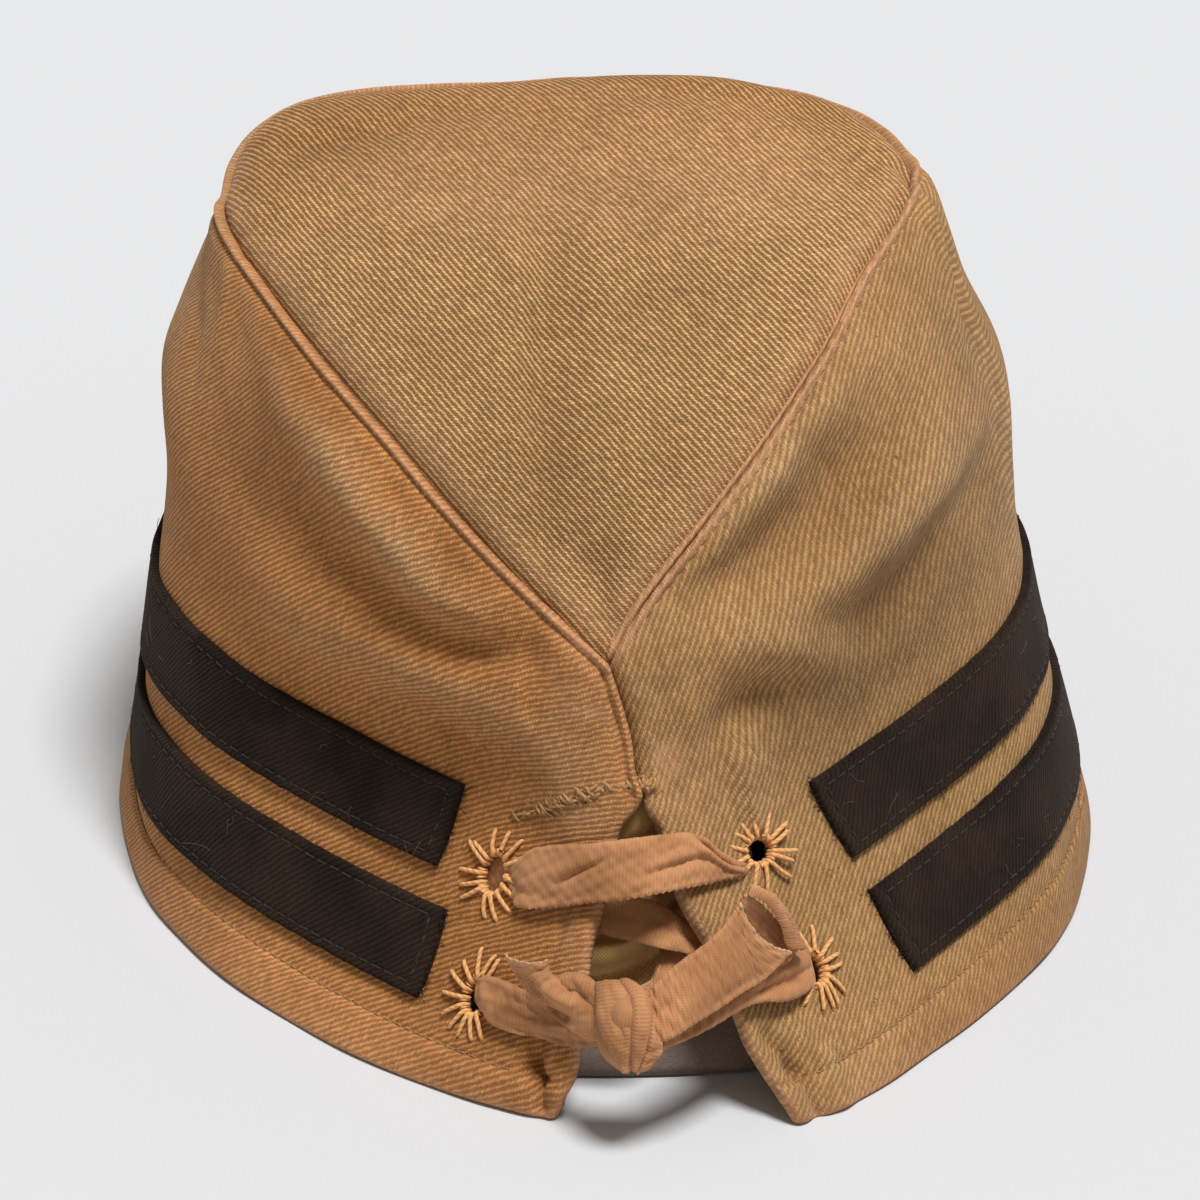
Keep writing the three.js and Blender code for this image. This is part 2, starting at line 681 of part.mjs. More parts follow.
function lace() {
  const pieces = [
    ...Object.values(TAPE_RUNS).map((rows) => tape(stationsOf(rows))),
    ...Object.values(EYELETS).map(strand),
    ...Object.values(INNER_RUNS).map(innerRun),
    knot(),
  ];
  return geometryOf(pieces.map(solidOf).reduce((whole, piece) => whole.add(piece)));
}

const cloth = { color: CLOTH_COLOUR, roughness: 0.95 };
const PIECES = {
  crown_side_left: [() => sidePanel("left"), cloth],
  crown_side_right: [() => sidePanel("right"), cloth],
  crown_top_panel: [topPanel, cloth],
  stripe_lower: [() => stripe(STRIPES.stripe_lower), { color: STRIPE_COLOUR, roughness: 0.95 }],
  stripe_upper: [() => stripe(STRIPES.stripe_upper), { color: STRIPE_COLOUR, roughness: 0.95 }],
  peak: [peak, cloth],
  sweatband: [sweatband, { color: BAND_COLOUR, roughness: 0.6 }],
  slit_lining: [slitLining, { color: LINING_COLOUR, roughness: 0.95 }],
  lace: [lace, { color: TAPE_COLOUR, roughness: 0.9 }],
};

const cap = new THREE.Group();
for (const [name, [build, look]] of Object.entries(PIECES)) {
  const mesh = new THREE.Mesh(build(), new THREE.MeshStandardMaterial({ metalness: 0, ...look }));
  mesh.name = name;
  cap.add(mesh);
}

export default cap;
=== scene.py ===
"""A cotton field cap, seen from behind: twill panels, lapped seams, two wool stripes and a laced slit.

Everything is laid out in millimetres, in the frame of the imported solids: +Z up, +Y towards the peak and +X to
the wearer's right. Pieces are turned into metres when their meshes are made.

A place on the cap is a turn and a level, as in the solids. The turn is an angle in degrees: 0 at the back,
90 at the right, 180 at the front and -90 at the left. The level counts the rows of SECTIONS from the rim up.
"""

import math

import bpy
import numpy as np
from mathutils import Matrix, Vector


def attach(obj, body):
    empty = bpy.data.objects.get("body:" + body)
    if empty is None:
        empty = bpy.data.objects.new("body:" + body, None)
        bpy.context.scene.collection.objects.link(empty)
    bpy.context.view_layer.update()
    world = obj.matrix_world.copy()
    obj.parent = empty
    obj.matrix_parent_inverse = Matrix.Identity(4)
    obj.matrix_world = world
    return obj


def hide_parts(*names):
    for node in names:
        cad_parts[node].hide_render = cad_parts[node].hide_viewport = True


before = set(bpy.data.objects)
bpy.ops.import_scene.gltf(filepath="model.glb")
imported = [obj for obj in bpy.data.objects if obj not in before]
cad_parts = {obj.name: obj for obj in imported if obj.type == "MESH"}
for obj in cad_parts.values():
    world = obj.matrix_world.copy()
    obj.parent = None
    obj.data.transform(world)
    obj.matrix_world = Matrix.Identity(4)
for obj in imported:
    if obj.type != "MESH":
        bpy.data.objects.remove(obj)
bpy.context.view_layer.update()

MM = 0.001

# Sections of the cap, each a rounded outline with a back half and a front half.
# Columns: centre x, half width, back y, front y, back z, side z, front z, back roundness, front roundness.
SECTIONS = np.array(
    [
        [0.2, 81, -118.5, 77.5, 0, 0, 16, 1.8, 2.0],  # rim
        [-0.3, 78, -119.5, 75.5, 14.5, 9.5, 34, 1.35, 2.1],  # hem
        [-3.3, 72, -100.5, 72.5, 40.5, 45.5, 56, 1.3, 2.2],  # upper stripe
        [-3.8, 67, -91, 68.5, 68, 73, 77, 1.85, 2.3],  # point of the top panel
        [-3.8, 61, -78.5, 61.5, 89, 92, 94, 2.1, 2.4],  # shoulder
        [-3.8, 55, -60.5, 48.5, 103, 104.5, 100.5, 2.2, 2.5],  # edge of the top
        [-2.8, 40.5, -39.5, 26.5, 112, 108.5, 112, 2.1, 2.2],  # top
        [-4.8, 0, -4.5, -4.5, 112.5, 112.5, 112.5, 2.0, 2.0],  # crown point
    ]
)
TOP_LEVEL = len(SECTIONS) - 1
CENTRE_SHARE = 0.52  # where between back and front the widest line of a section lies

# Wide swellings of the cloth. Columns: turn, level, width in degrees, width in levels, height.
SWELLINGS = [
    [-128, 5.0, 22, 0.7, 0.9],
    [150, 5.7, 28, 0.7, 1.3],
    [-90, 3.4, 28, 0.9, -0.6],
    [95, 1.2, 24, 0.9, 0.6],
    [17, 0.0, 12, 0.55, 4.0],
    [-120, 2.1, 26, 0.8, -8.0],  # the sides draw in before the front, so that the back hides them
    [122, 2.1, 24, 0.8, -6.0],
    [-98, 3.1, 24, 0.45, 2.8],
    [-100, 4.1, 26, 0.9, 1.2],
    [98, 3.1, 22, 0.45, 2.6],
    [-170, 6.2, 55, 0.9, -2.2],
]

# Folds, each a line of places. Columns: turn, level, width on the left hand and on the right hand of someone
# who walks along the rows outside the cap, height.
FOLDS = {
    "left_roll": [
        [-66, 4.22, 3.0, 3.5, 0.5], [-56.5, 4.0, 3.5, 5.0, 1.4], [-48, 3.82, 4.0, 6.0, 2.0],
        [-41.5, 3.62, 4.2, 5.5, 2.6], [-35, 3.38, 4.2, 4.8, 2.7], [-29.5, 3.18, 4.0, 4.2, 2.4],
        [-24, 3.04, 4.0, 3.5, 1.6], [-19, 3.02, 3.0, 2.5, 0.5],
    ],
    "left_hollow": [
        [-80, 3.3, 8, 8, -0.5], [-66, 3.16, 10, 8, -2.0], [-54, 3.1, 9.5, 7, -3.0],
        [-42, 3.0, 7.5, 6.5, -3.4], [-35.5, 2.9, 5.5, 5, -3.4], [-30, 2.86, 4.5, 4, -3.1],
        [-24, 2.86, 4, 3.4, -2.6], [-18.5, 2.93, 3, 3, -1.0],
    ],
    "left_ridge": [
        [-60, 2.5, 6, 6, 0.3], [-52, 2.5, 7, 6, 1.0], [-46, 2.5, 8, 5.5, 1.4], [-40, 2.54, 8, 5, 1.7],
        [-34, 2.58, 7, 4, 1.9], [-28.5, 2.55, 6, 5, 1.9], [-24, 2.48, 5, 6, 1.7], [-21.5, 2.34, 4, 3, 0.8],
    ],
    "left_lower_hollow": [
        [-50, 2.12, 4, 6, -0.2], [-44.5, 2.14, 4, 6, -0.6], [-37.5, 2.22, 4, 6, -0.9], [-33, 2.2, 4, 6, -0.9],
        [-28, 2.14, 4, 5, -0.4], [-24, 1.98, 3.5, 5, -0.1],
    ],
    "left_pucker": [
        [-14.5, 3.1, 2.5, 1.4, -0.6], [-16.5, 2.88, 3.0, 1.5, -1.3], [-18.0, 2.62, 3.0, 1.5, -0.7],
    ],
    "left_far_hollow": [[-95, 3.9, 3, 2.5, -0.4], [-85, 3.7, 3, 2.5, -0.9], [-79, 3.34, 3, 3, -0.3]],
    "left_far_ridge": [[-77.5, 4.5, 2.5, 2.0, 0.5], [-77, 4.18, 3, 2.2, 0.9], [-75.5, 3.8, 3, 2.5, 0.3]],
    "right_crest": [
        [40, 4.62, 3, 3, 0.4], [29, 4.36, 3.4, 3, 1.3], [21, 4.08, 3.6, 3, 1.9], [15, 3.82, 3.6, 3, 2.0],
        [9, 3.55, 3, 3, 0.8],
    ],
    "right_hollow": [
        [50, 4.0, 7, 6, -0.5], [41, 3.92, 8, 6.5, -1.6], [34, 3.84, 8, 6.5, -2.6], [27, 3.68, 8, 6, -3.2],
        [20.5, 3.52, 7, 5.5, -3.3], [13.5, 3.42, 6, 4.6, -2.5], [7, 3.28, 4, 4, -0.9],
    ],
    "right_ridge": [
        [66, 3.4, 4, 8, 0.5], [52, 3.38, 4.5, 9, 1.4], [44, 3.32, 4.5, 9, 1.9], [37, 3.28, 4.5, 8, 2.1],
        [31, 3.22, 4.5, 7, 2.0], [25, 3.16, 4, 6, 1.6], [17, 3.14, 4, 5, 0.6],
    ],
    "right_long_hollow": [
        [72, 3.1, 7, 4, -0.5], [56, 3.0, 8, 4.5, -1.6], [48, 2.92, 9, 5, -2.5], [42, 2.82, 9, 5, -3.0],
        [36.5, 2.78, 8, 5, -3.0], [29, 2.84, 5, 4, -1.8], [22, 2.92, 4, 4, -0.4],
    ],
    "right_low_ridge": [
        [56, 2.2, 4, 7, 0.1], [46, 2.36, 5, 8, 0.2], [34, 2.62, 6, 8, 0.7], [24.5, 2.82, 3.8, 5, 2.2],
        [16, 2.96, 4, 5, 1.7], [9, 2.98, 4, 4, 0.5],
    ],
    "right_low_hollow": [
        [46, 2.06, 6, 4, 0.0], [37.5, 2.22, 7, 4, 0.0], [28, 2.46, 7, 4.2, -0.9], [20.5, 2.58, 6, 4, -2.8],
        [16.5, 2.5, 5, 4, -2.2], [15, 2.3, 5, 4, -0.8],
    ],
    "right_stand": [[18, 2.42, 5, 2.2, 0.3], [21, 2.18, 6, 2.0, 1.4], [22.5, 1.96, 6, 2.0, 1.2]],
    "top_hollow": [
        [-21, 6.5, 6, 4, -0.5], [-13.5, 5.8, 6.5, 3.2, -1.7], [-11.5, 5.08, 6.5, 2.8, -2.3],
        [-11.5, 4.46, 6, 2.6, -2.4], [-12.5, 4.04, 5.5, 2.4, -2.3], [-13.5, 3.66, 4.5, 2.4, -1.3],
    ],
    "point_hollow": [[-6, 3.66, 4, 3.5, -0.7], [-6, 3.44, 4, 3, -2.2], [-5.2, 3.18, 3, 2.6, -1.2]],
    "left_back_swell": [
        [-20, 2.75, 7, 5, 0.4], [-17, 2.5, 8, 5, 1.5], [-16, 2.2, 8, 5, 1.8], [-17, 1.9, 8, 5, 1.0],
    ],
    "top_right_ridge": [
        [70, 5.95, 5, 7, 0.4], [41, 5.72, 6, 8, 1.0], [28.5, 5.22, 6, 8, 1.2], [21, 4.8, 5.5, 7, 1.2],
        [14, 4.42, 5, 6, 1.0], [7, 4.04, 4.5, 5, 0.8], [0.5, 3.66, 3.5, 4, 0.4],
    ],
    "top_left_ridge": [
        [-80, 5.2, 6, 4, 0.3], [-61.5, 5.1, 6, 4, 0.7], [-44, 4.78, 5, 3.5, 0.7], [-33, 4.42, 4, 3, 0.7],
        [-24.5, 4.0, 4, 3, 0.6], [-17.5, 3.64, 3, 2.5, 0.3],
    ],
}

# Straight creases. Columns: turn, level, turn, level, width, height.
CREASES = [
    [-9.5, 3.0, -11.5, 2.62, 2.2, 0.5],
    [74.5, 4.06, 91, 5.41, 3.0, -1.3],  # crease at the upper right
    [66, 4.1, 80, 5.3, 3.2, 0.8],
    [37.5, 4.75, 45, 4.4, 2.0, 0.5],  # puckers below the right seam
    [33, 4.55, 39, 4.25, 1.9, -0.4],
    [28.5, 4.35, 34.5, 4.08, 1.9, 0.5],
    [24, 4.15, 29.5, 3.9, 1.8, -0.5],
    [19.5, 3.95, 24, 3.76, 1.8, 0.5],
    [15, 3.74, 18, 3.62, 1.7, -0.4],
    [11, 3.56, 13.5, 3.46, 1.6, 0.4],
    [-49, 4.2, -52.5, 4.02, 1.7, -0.5],  # puckers below the left seam
    [-41, 3.98, -44.5, 3.8, 1.7, 0.5],
    [-34, 3.7, -37.5, 3.55, 1.6, -0.5],
    [-29, 3.52, -32, 3.36, 1.6, 0.6],
    [-24, 3.34, -27, 3.2, 1.6, -0.5],
    [-19.5, 3.2, -22.5, 3.1, 1.6, 0.5],
    [11, 2.6, 15, 2.15, 2.0, 0.6],
    [4, 2.75, 8, 2.2, 1.8, -0.6],
    [120, 3.8, 150, 3.0, 4.5, -1.0],
    [-125, 3.9, -150, 3.1, 4.5, -0.9],
    [100, 4.6, 120, 3.9, 4.0, -0.8],
    [-100, 4.5, -118, 3.7, 4.0, -0.8],
    [160, 6.2, 120, 5.6, 6.0, -0.8],
    [-150, 6.2, -110, 5.7, 6.0, -0.8],
    [-22.4, 0.9, -22, 0.64, 1.5, -1.7],  # fold of the left flap's facing, in three runs
    [-22, 0.64, -19.8, 0.46, 1.5, -2.0],
    [-19.8, 0.46, -17.4, 0.16, 1.3, -1.7],
    [-18.8, 1.6, -22.4, 1.28, 0.9, -0.6],  # the same above the tape
    [18.6, 0.95, 19.6, 0.6, 1.5, -1.5],  # fold of the right flap
    [19.6, 0.6, 18.2, 0.1, 1.5, -1.5],
    [22.5, 0.9, 23.5, 0.55, 2.0, 0.9],
    [23.5, 0.55, 21.5, 0.1, 2.0, 0.8],
]

# The seam round the top panel. Columns: turn, level.
SEAM_LEFT = [
    [-180, 4.9], [-145, 4.72], [-110, 4.55], [-80, 4.68], [-58, 4.58],
    [-38.5, 4.17], [-24.5, 3.68], [-15, 3.3], [-5.5, 2.92],
]  # fmt: skip
SEAM_RIGHT = [
    [-5.5, 2.92], [3.5, 3.45], [15, 4.05], [29.5, 4.72], [48.5, 5.31],
    [74.5, 5.45], [100, 5.1], [130, 4.9], [155, 4.85], [180, 4.9],
]  # fmt: skip
POINT = (-5.5, 2.92)

# The edges at the back: the open slit up to SLIT_TOP, and the back seam above it.
# Columns: level, turn of the left panel's edge, turn of the right panel's edge.
BACK_EDGES = [
    [0, -15.0, 14.8], [0.5, -16.6, 16.2], [0.93, -18.2, 16.2], [1.4, -17.2, 14.6], [1.7, -13.6, 9.8],
    [2.05, -8.0, 5.6], [2.23, -1.2, -1.2], [2.34, -3.0, -3.0], [2.49, -3.2, -3.2], [2.67, -4.1, -4.1],
    [2.92, -5.5, -5.5],
]  # fmt: skip
SLIT_TOP = 2.23

CLOTH = 2.0  # twill and its lining together
RIM_FLAT_LEVELS = 0.3  # below this level the cloth's thickness lies level
HEM = 8.0  # from the rim up to the stitch line
TUCK = 2.5  # how far a lapped edge goes on under its neighbour

# How the outside of the cloth rises and dips beside each kind of edge.
# Columns: distance from the edge, lift.
LAP_PROFILE = [
    [0, -0.35], [0.12, 0.3], [0.3, 0.8], [0.6, 1.08], [0.95, 0.9], [1.2, 0.4], [1.4, 0.1],
    [1.65, 0.25], [2.2, 0.55], [3.2, 0.7], [5.5, 0.4], [8, 0.1], [10, 0],
]  # fmt: skip
TUCKED_PROFILE = [[0, -1.3], [2.4, -1.1], [3.4, -0.3], [5, 0.2], [8, 0.15], [11, 0]]
HEM_PROFILE = [
    [0, -1.0], [0.2, -0.45], [0.5, -0.1], [1.0, 0.15], [2.5, 0.4], [6, 0.55], [7.3, 0.45],
    [7.8, -0.05], [8.2, -0.25], [8.7, -0.05], [10, 0],
]  # fmt: skip
SLIT_PROFILE = [[0, -1.0], [0.2, -0.4], [0.5, -0.05], [1.0, 0.2], [2.5, 0.3], [6, 0.15], [9, 0]]

EYELET_RADIUS = 2.4  # of the hole that the cloth's points are spread round, before it is shaped
EYELET_HALVES = {  # half the width and half the height of each hole
    "upper_left": (2.2, 3.3),
    "upper_right": (2.5, 2.1),
    "lower_left": (1.9, 3.0),
    "lower_right": (2.1, 2.6),
}
EYELETS = {
    "upper_left": (-28.7, 1.60),
    "upper_right": (23.7, 1.74),
    "lower_left": (-30.3, 1.01),
    "lower_right": (27.5, 1.16),
}

# Stripes. Heights are measured along the cloth from the rim; turns are those of the ends, low and high.
STRIPES = {
    "stripe_lower": {"low": 13, "high": 28, "right": (38.5, 36.5), "left": (324, 326)},
    "stripe_upper": {"low": 34, "high": 49, "right": (35.5, 31.5), "left": (325, 329)},
}

rng = np.random.default_rng(7)


# Surface


def smooth(table, x, column=1):
    """The smooth curve through a table's rows, read at x in its first column. Ends are held."""
    rows = np.asarray(table, float)
    keys, values = rows[:, 0], rows[:, column]
    x = np.clip(x, keys[0], keys[-1])
    slopes = np.empty_like(values)
    slopes[1:-1] = (values[2:] - values[:-2]) / (keys[2:] - keys[:-2])
    slopes[0] = (values[1] - values[0]) / (keys[1] - keys[0])
    slopes[-1] = (values[-1] - values[-2]) / (keys[-1] - keys[-2])
    i = np.clip(np.searchsorted(keys, x) - 1, 0, len(keys) - 2)
    span = keys[i + 1] - keys[i]
    t = (x - keys[i]) / span
    return (
        values[i] * (2 * t**3 - 3 * t**2 + 1)
        + slopes[i] * span * (t**3 - 2 * t**2 + t)
        + values[i + 1] * (3 * t**2 - 2 * t**3)
        + slopes[i + 1] * span * (t**3 - t**2)
    )


def profile(table, distance):
    """A height read from a table of distance and height, with straight lines between its rows."""
    rows = np.asarray(table, float)
    return np.interp(distance, rows[:, 0], rows[:, 1])


def ease(x):
    x = np.clip(x, 0, 1)
    return x * x * (3 - 2 * x)


def unit(vectors):
    return vectors / np.maximum(np.linalg.norm(vectors, axis=-1, keepdims=True), 1e-9)


def bell(distance, width):
    """A smooth hump: 1 in the middle, and about a third at its width."""
    return np.exp(-((distance / width) ** 2))


def mixed(ends, share):
    """The value at a share of the way between two ends."""
    return ends[0] + (ends[1] - ends[0]) * share


def run_length(points, axis=0):
    """The length run at each point of a path, or along one axis of a grid of points."""
    steps = np.linalg.norm(np.diff(points, axis=axis), axis=-1)
    return np.concatenate([np.zeros_like(steps.take([0], axis)), np.cumsum(steps, axis=axis)], axis)


def read_path(length, values, wanted):
    """The columns of the values along a path, read at the wanted lengths."""
    return np.stack([np.interp(wanted, length, column) for column in values.T], -1)


def along_rows(table, share):
    """The columns of a table, smoothly read at places counted in rows."""
    rows = np.column_stack([np.arange(float(len(table))), table])
    return [smooth(rows, share, k) for k in range(1, rows.shape[1])]


def rows_with_ends():
    """SECTIONS with one row more at each end, so that a curve through them has its slopes."""
    below = 2 * SECTIONS[0] - SECTIONS[1]
    top, crown = SECTIONS[-2], SECTIONS[-1]
    past = top[[0, 1, 3, 2, 6, 5, 4, 7, 8]].copy()
    past[0] = 2 * crown[0] - top[0]
    past[1] = -top[1]
    return np.vstack([below, SECTIONS, past])


ROWS = rows_with_ends()


def section_at(level):
    level = np.clip(level, 0, TOP_LEVEL - 1e-9)
    i = np.floor(level).astype(int)
    t = (level - i)[..., None]
    a, b, c, d = ROWS[i], ROWS[i + 1], ROWS[i + 2], ROWS[i + 3]
    return 0.5 * (2 * b + (c - a) * t + (2 * a - 5 * b + 4 * c - d) * t**2 + (3 * b - a - 3 * c + d) * t**3)

ELLIPSE = 2  # the roundness that both halves of a section go over to at its sides
SIDE_POWER = 6  # how late they do so
TILT_FROM, TILT_LEVELS = 3.5, 3  # where swellings turn from outwards to upwards
TURN_STEP = 0.7
LEVEL_STEP = 0.02
CROWN_GAP = 0.05  # normals are taken no closer to the crown point than this


def plain_place(turn, level):
    """The outside of the cloth before the folds."""
    turn, level = np.broadcast_arrays(np.asarray(turn, float), np.asarray(level, float))
    section = section_at(level)
    cx, half, back_y, front_y, back_z, side_z, front_z, back_power, front_power = np.moveaxis(section, -1, 0)
    s, c = np.sin(np.radians(turn)), np.cos(np.radians(turn))
    at_back = c >= 0
    power = ELLIPSE + (np.where(at_back, back_power, front_power) - ELLIPSE) * (1 - np.abs(s) ** SIDE_POWER)
    cy = back_y + CENTRE_SHARE * (front_y - back_y)
    reach = np.where(at_back, cy - back_y, front_y - cy)
    across = np.maximum(half, 0) * np.sign(s) * np.abs(s) ** (2 / power)
    along = -reach * np.sign(c) * np.abs(c) ** (2 / power)
    z = side_z * (1 - c * c) + np.where(at_back, back_z, front_z) * c * c
    swell = np.zeros_like(z)
    for turn0, level0, wide, tall, height in SWELLINGS:
        away = (((turn - turn0 + 180) % 360 - 180) / wide) ** 2 + ((level - level0) / tall) ** 2
        swell += height * np.exp(-away)
    tilt = np.clip((level - TILT_FROM) / TILT_LEVELS, 0, 1) * np.pi / 2
    out = unit(np.stack([across, along, np.zeros_like(z)], -1)) * np.cos(tilt)[..., None]
    out[..., 2] = np.sin(tilt)
    return np.stack([cx + across, cy + along, z], -1) + out * swell[..., None]


def normal_at(place, turn, level):
    turn, level = np.broadcast_arrays(np.asarray(turn, float), np.asarray(level, float))
    level = np.minimum(level, TOP_LEVEL - CROWN_GAP)
    high = np.minimum(level + LEVEL_STEP, TOP_LEVEL - CROWN_GAP)
    low = np.minimum(np.maximum(level - LEVEL_STEP, 0), high - LEVEL_STEP)
    around = place(turn + TURN_STEP, level) - place(turn - TURN_STEP, level)
    upward = place(turn, high) - place(turn, low)
    return unit(np.cross(around, upward))


FOLD_POINTS = 26
FOLD_REACH = 2.6  # how far from its line a fold still counts, in widths
SIDE_BLEND = 1.2  # over which a fold's width goes from one side's to the other's


def fold_line(stations):
    """A fold's line on the plain surface, the way to its left hand, its widths and its height."""
    share = np.linspace(0, len(stations) - 1, FOLD_POINTS)
    turns, levels, left, right, height = along_rows(stations, share)
    line = plain_place(turns, levels)
    to_left = unit(np.cross(normal_at(plain_place, turns, levels), np.gradient(line, axis=0)))
    return line, to_left, left, right, height


def crease_line(turn, level, end_turn, end_level, width, height):
    """The same for a crease, which is equally wide on both sides."""
    line = plain_place([turn, end_turn], [level, end_level])
    width, height = np.full(2, float(width)), np.full(2, float(height))
    return line, np.zeros((2, 3)), width, width, height


FOLD_LINES = [fold_line(stations) for stations in FOLDS.values()] + [crease_line(*row) for row in CREASES]
RIPPLE_COUNT = 26
RIPPLE_WAYS = unit(rng.normal(size=(RIPPLE_COUNT, 3)))
RIPPLE_LENGTHS = np.geomspace(10, 60, RIPPLE_COUNT)
RIPPLE_STARTS = rng.uniform(0, 2 * np.pi, RIPPLE_COUNT)
RIPPLE_HEIGHT = 0.0018  # of each ripple, as a share of its length


def line_height(points, line, to_left, left, right, height):
    """How far one fold moves each point. The nearest part of its line counts."""
    best = np.full(len(points), np.inf)
    value = np.zeros(len(points))
    for k in range(len(line) - 1):
        along = line[k + 1] - line[k]
        t = np.clip(((points - line[k]) @ along) / (along @ along), 0, 1)
        offset = points - line[k] - t[:, None] * along
        away = np.linalg.norm(offset, axis=-1)
        side = ease(offset @ to_left[k] / SIDE_BLEND + 0.5)
        wide = mixed(right[k : k + 2], t) * (1 - side) + mixed(left[k : k + 2], t) * side
        near = away < best
        best = np.where(near, away, best)
        value = np.where(near, mixed(height[k : k + 2], t) * bell(away, wide), value)
    return value


def fold_height(points):
    """How far folds, creases and faint ripples move the cloth out from its plain surface."""
    flat = points.reshape(-1, 3)
    height = np.zeros(len(flat))
    for line, to_left, left, right, tall in FOLD_LINES:
        reach = FOLD_REACH * max(left.max(), right.max())
        near = ((flat > line.min(0) - reach) & (flat < line.max(0) + reach)).all(-1)
        height[near] += line_height(flat[near], line, to_left, left, right, tall)
    for way, length, start in zip(RIPPLE_WAYS, RIPPLE_LENGTHS, RIPPLE_STARTS):
        height += RIPPLE_HEIGHT * length * np.sin(flat @ way * (2 * np.pi / length) + start)
    return height.reshape(points.shape[:-1])


def cloth_place(turn, level):
    """The outside of the cloth with its folds."""
    points = plain_place(turn, level)
    return points + normal_at(plain_place, turn, level) * fold_height(points)[..., None]


def cloth_normal(turn, level):
    normals = normal_at(cloth_place, turn, level)
    normals[..., 2] *= np.clip(np.broadcast_to(level, normals.shape[:-1]) / RIM_FLAT_LEVELS, 0, 1)
    return unit(normals)


def lifted(turn, level, lift):
    """A place off the cloth: lift is outwards, and below zero it is inside the cap."""
    lift = np.asarray(lift, float)
    return cloth_place(turn, level) + cloth_normal(turn, level) * lift[..., None]


# Lengths measured on the cloth, from a grid of turns and levels
GRID_TURNS = np.arange(-200, 361.0)
GRID_LEVELS = np.arange(0, 6.61, 0.05)
GRID = plain_place(GRID_TURNS[:, None], GRID_LEVELS[None, :])
GRID_HEIGHTS = run_length(GRID, 1)
GRID_AROUND = run_length(GRID, 0)


def read_grid(values, turn, level):
    i = np.clip(turn - GRID_TURNS[0], 0, len(GRID_TURNS) - 1.001)
    j = np.clip(level / GRID_LEVELS[1], 0, len(GRID_LEVELS) - 1.001)
    a, b = i.astype(int), j.astype(int)
    s, t = i - a, j - b
    return (
        values[a, b] * (1 - s) * (1 - t)
        + values[a + 1, b] * s * (1 - t)
        + values[a, b + 1] * (1 - s) * t
        + values[a + 1, b + 1] * s * t
    )


def height_at(turn, level):
    return read_grid(GRID_HEIGHTS, turn, level)


def level_at(turn, height):
    """The level that lies a given length of cloth above the rim."""
    turn, height = np.broadcast_arrays(np.asarray(turn, float), np.asarray(height, float))
    found = np.empty(turn.shape)
    for where in np.ndindex(turn.shape):
        column = int(round(turn[where] - GRID_TURNS[0]))
        found[where] = np.interp(height[where], GRID_HEIGHTS[column], GRID_LEVELS)
    return found


def flattened(points, start, loop=False, rounds=160):
    """Lays a grid of points out flat, keeping the lengths between neighbours as well as it can."""
    columns, rows = points.shape[:2]
    index = np.arange(columns * rows).reshape(columns, rows)
    after = np.roll(index, -1, axis=0) if loop else index[1:]
    before = index if loop else index[:-1]
    sets = [(before, after), (index[:, :-1], index[:, 1:])]
    sets += [(before[:, :-1], after[:, 1:]), (before[:, 1:], after[:, :-1])]
    pairs = np.concatenate([np.stack([a.ravel(), b.ravel()], -1) for a, b in sets])
    places = points.reshape(-1, 3)
    length = np.linalg.norm(places[pairs[:, 0]] - places[pairs[:, 1]], axis=1)
    pairs, length = pairs[length > 1e-3], length[length > 1e-3]
    count = len(places)
    pull = np.zeros((count, count))
    for a, b, sign in ((0, 0, 1), (1, 1, 1), (0, 1, -1), (1, 0, -1)):
        np.add.at(pull, (pairs[:, a], pairs[:, b]), sign / length)
    inverse = np.linalg.inv(pull + np.eye(count) * 1e-6 + 1 / count)
    flat = start.reshape(-1, 2).astype(float)
    for _ in range(rounds):
        step = unit(flat[pairs[:, 0]] - flat[pairs[:, 1]])
        wanted = np.zeros_like(flat)
        np.add.at(wanted, pairs[:, 0], step)
        np.add.at(wanted, pairs[:, 1], -step)
        flat = inverse @ wanted
    return flat.reshape(columns, rows, 2)


def cubic_weights(t):
    """The shares of four neighbours in a smooth curve through the middle two."""
    return 0.5 * np.stack(
        [-(t**3) + 2 * t**2 - t, 3 * t**3 - 5 * t**2 + 2, -3 * t**3 + 4 * t**2 + t, t**3 - t**2], -1
    )


def between(grid, across, up):
    """A grid's values, smoothly read at shares of its columns and of its rows."""
    ends = [2 * grid[:1] - grid[1:2], grid, 2 * grid[-1:] - grid[-2:-1]]
    wide = np.concatenate(ends, 0)
    wide = np.concatenate([2 * wide[:, :1] - wide[:, 1:2], wide, 2 * wide[:, -1:] - wide[:, -2:-1]], 1)
    i = np.clip(across * (grid.shape[0] - 1), 0, grid.shape[0] - 1.0001)
    j = np.clip(up * (grid.shape[1] - 1), 0, grid.shape[1] - 1.0001)
    a, b = i.astype(int), j.astype(int)
    by_column, by_row = cubic_weights(i - a), cubic_weights(j - b)
    value = np.zeros(i.shape + (grid.shape[-1],))
    for m in range(4):
        for n in range(4):
            value += (by_column[..., m] * by_row[..., n])[..., None] * wide[a + m, b + n]
    return value


def distance_to(points, line):
    """Distances from points to a line of points."""
    flat = points.reshape(-1, 3)
    best = np.full(len(flat), np.inf)
    for start, end in zip(line[:-1], line[1:]):
        along = end - start
        t = np.clip(((flat - start) @ along) / max(along @ along, 1e-9), 0, 1)
        best = np.minimum(best, np.linalg.norm(flat - start - t[:, None] * along, axis=1))
    return best.reshape(points.shape[:-1])


BESIDE_TURN, BESIDE_LEVEL = 0.2, 0.01  # steps that show how the surface runs at a place


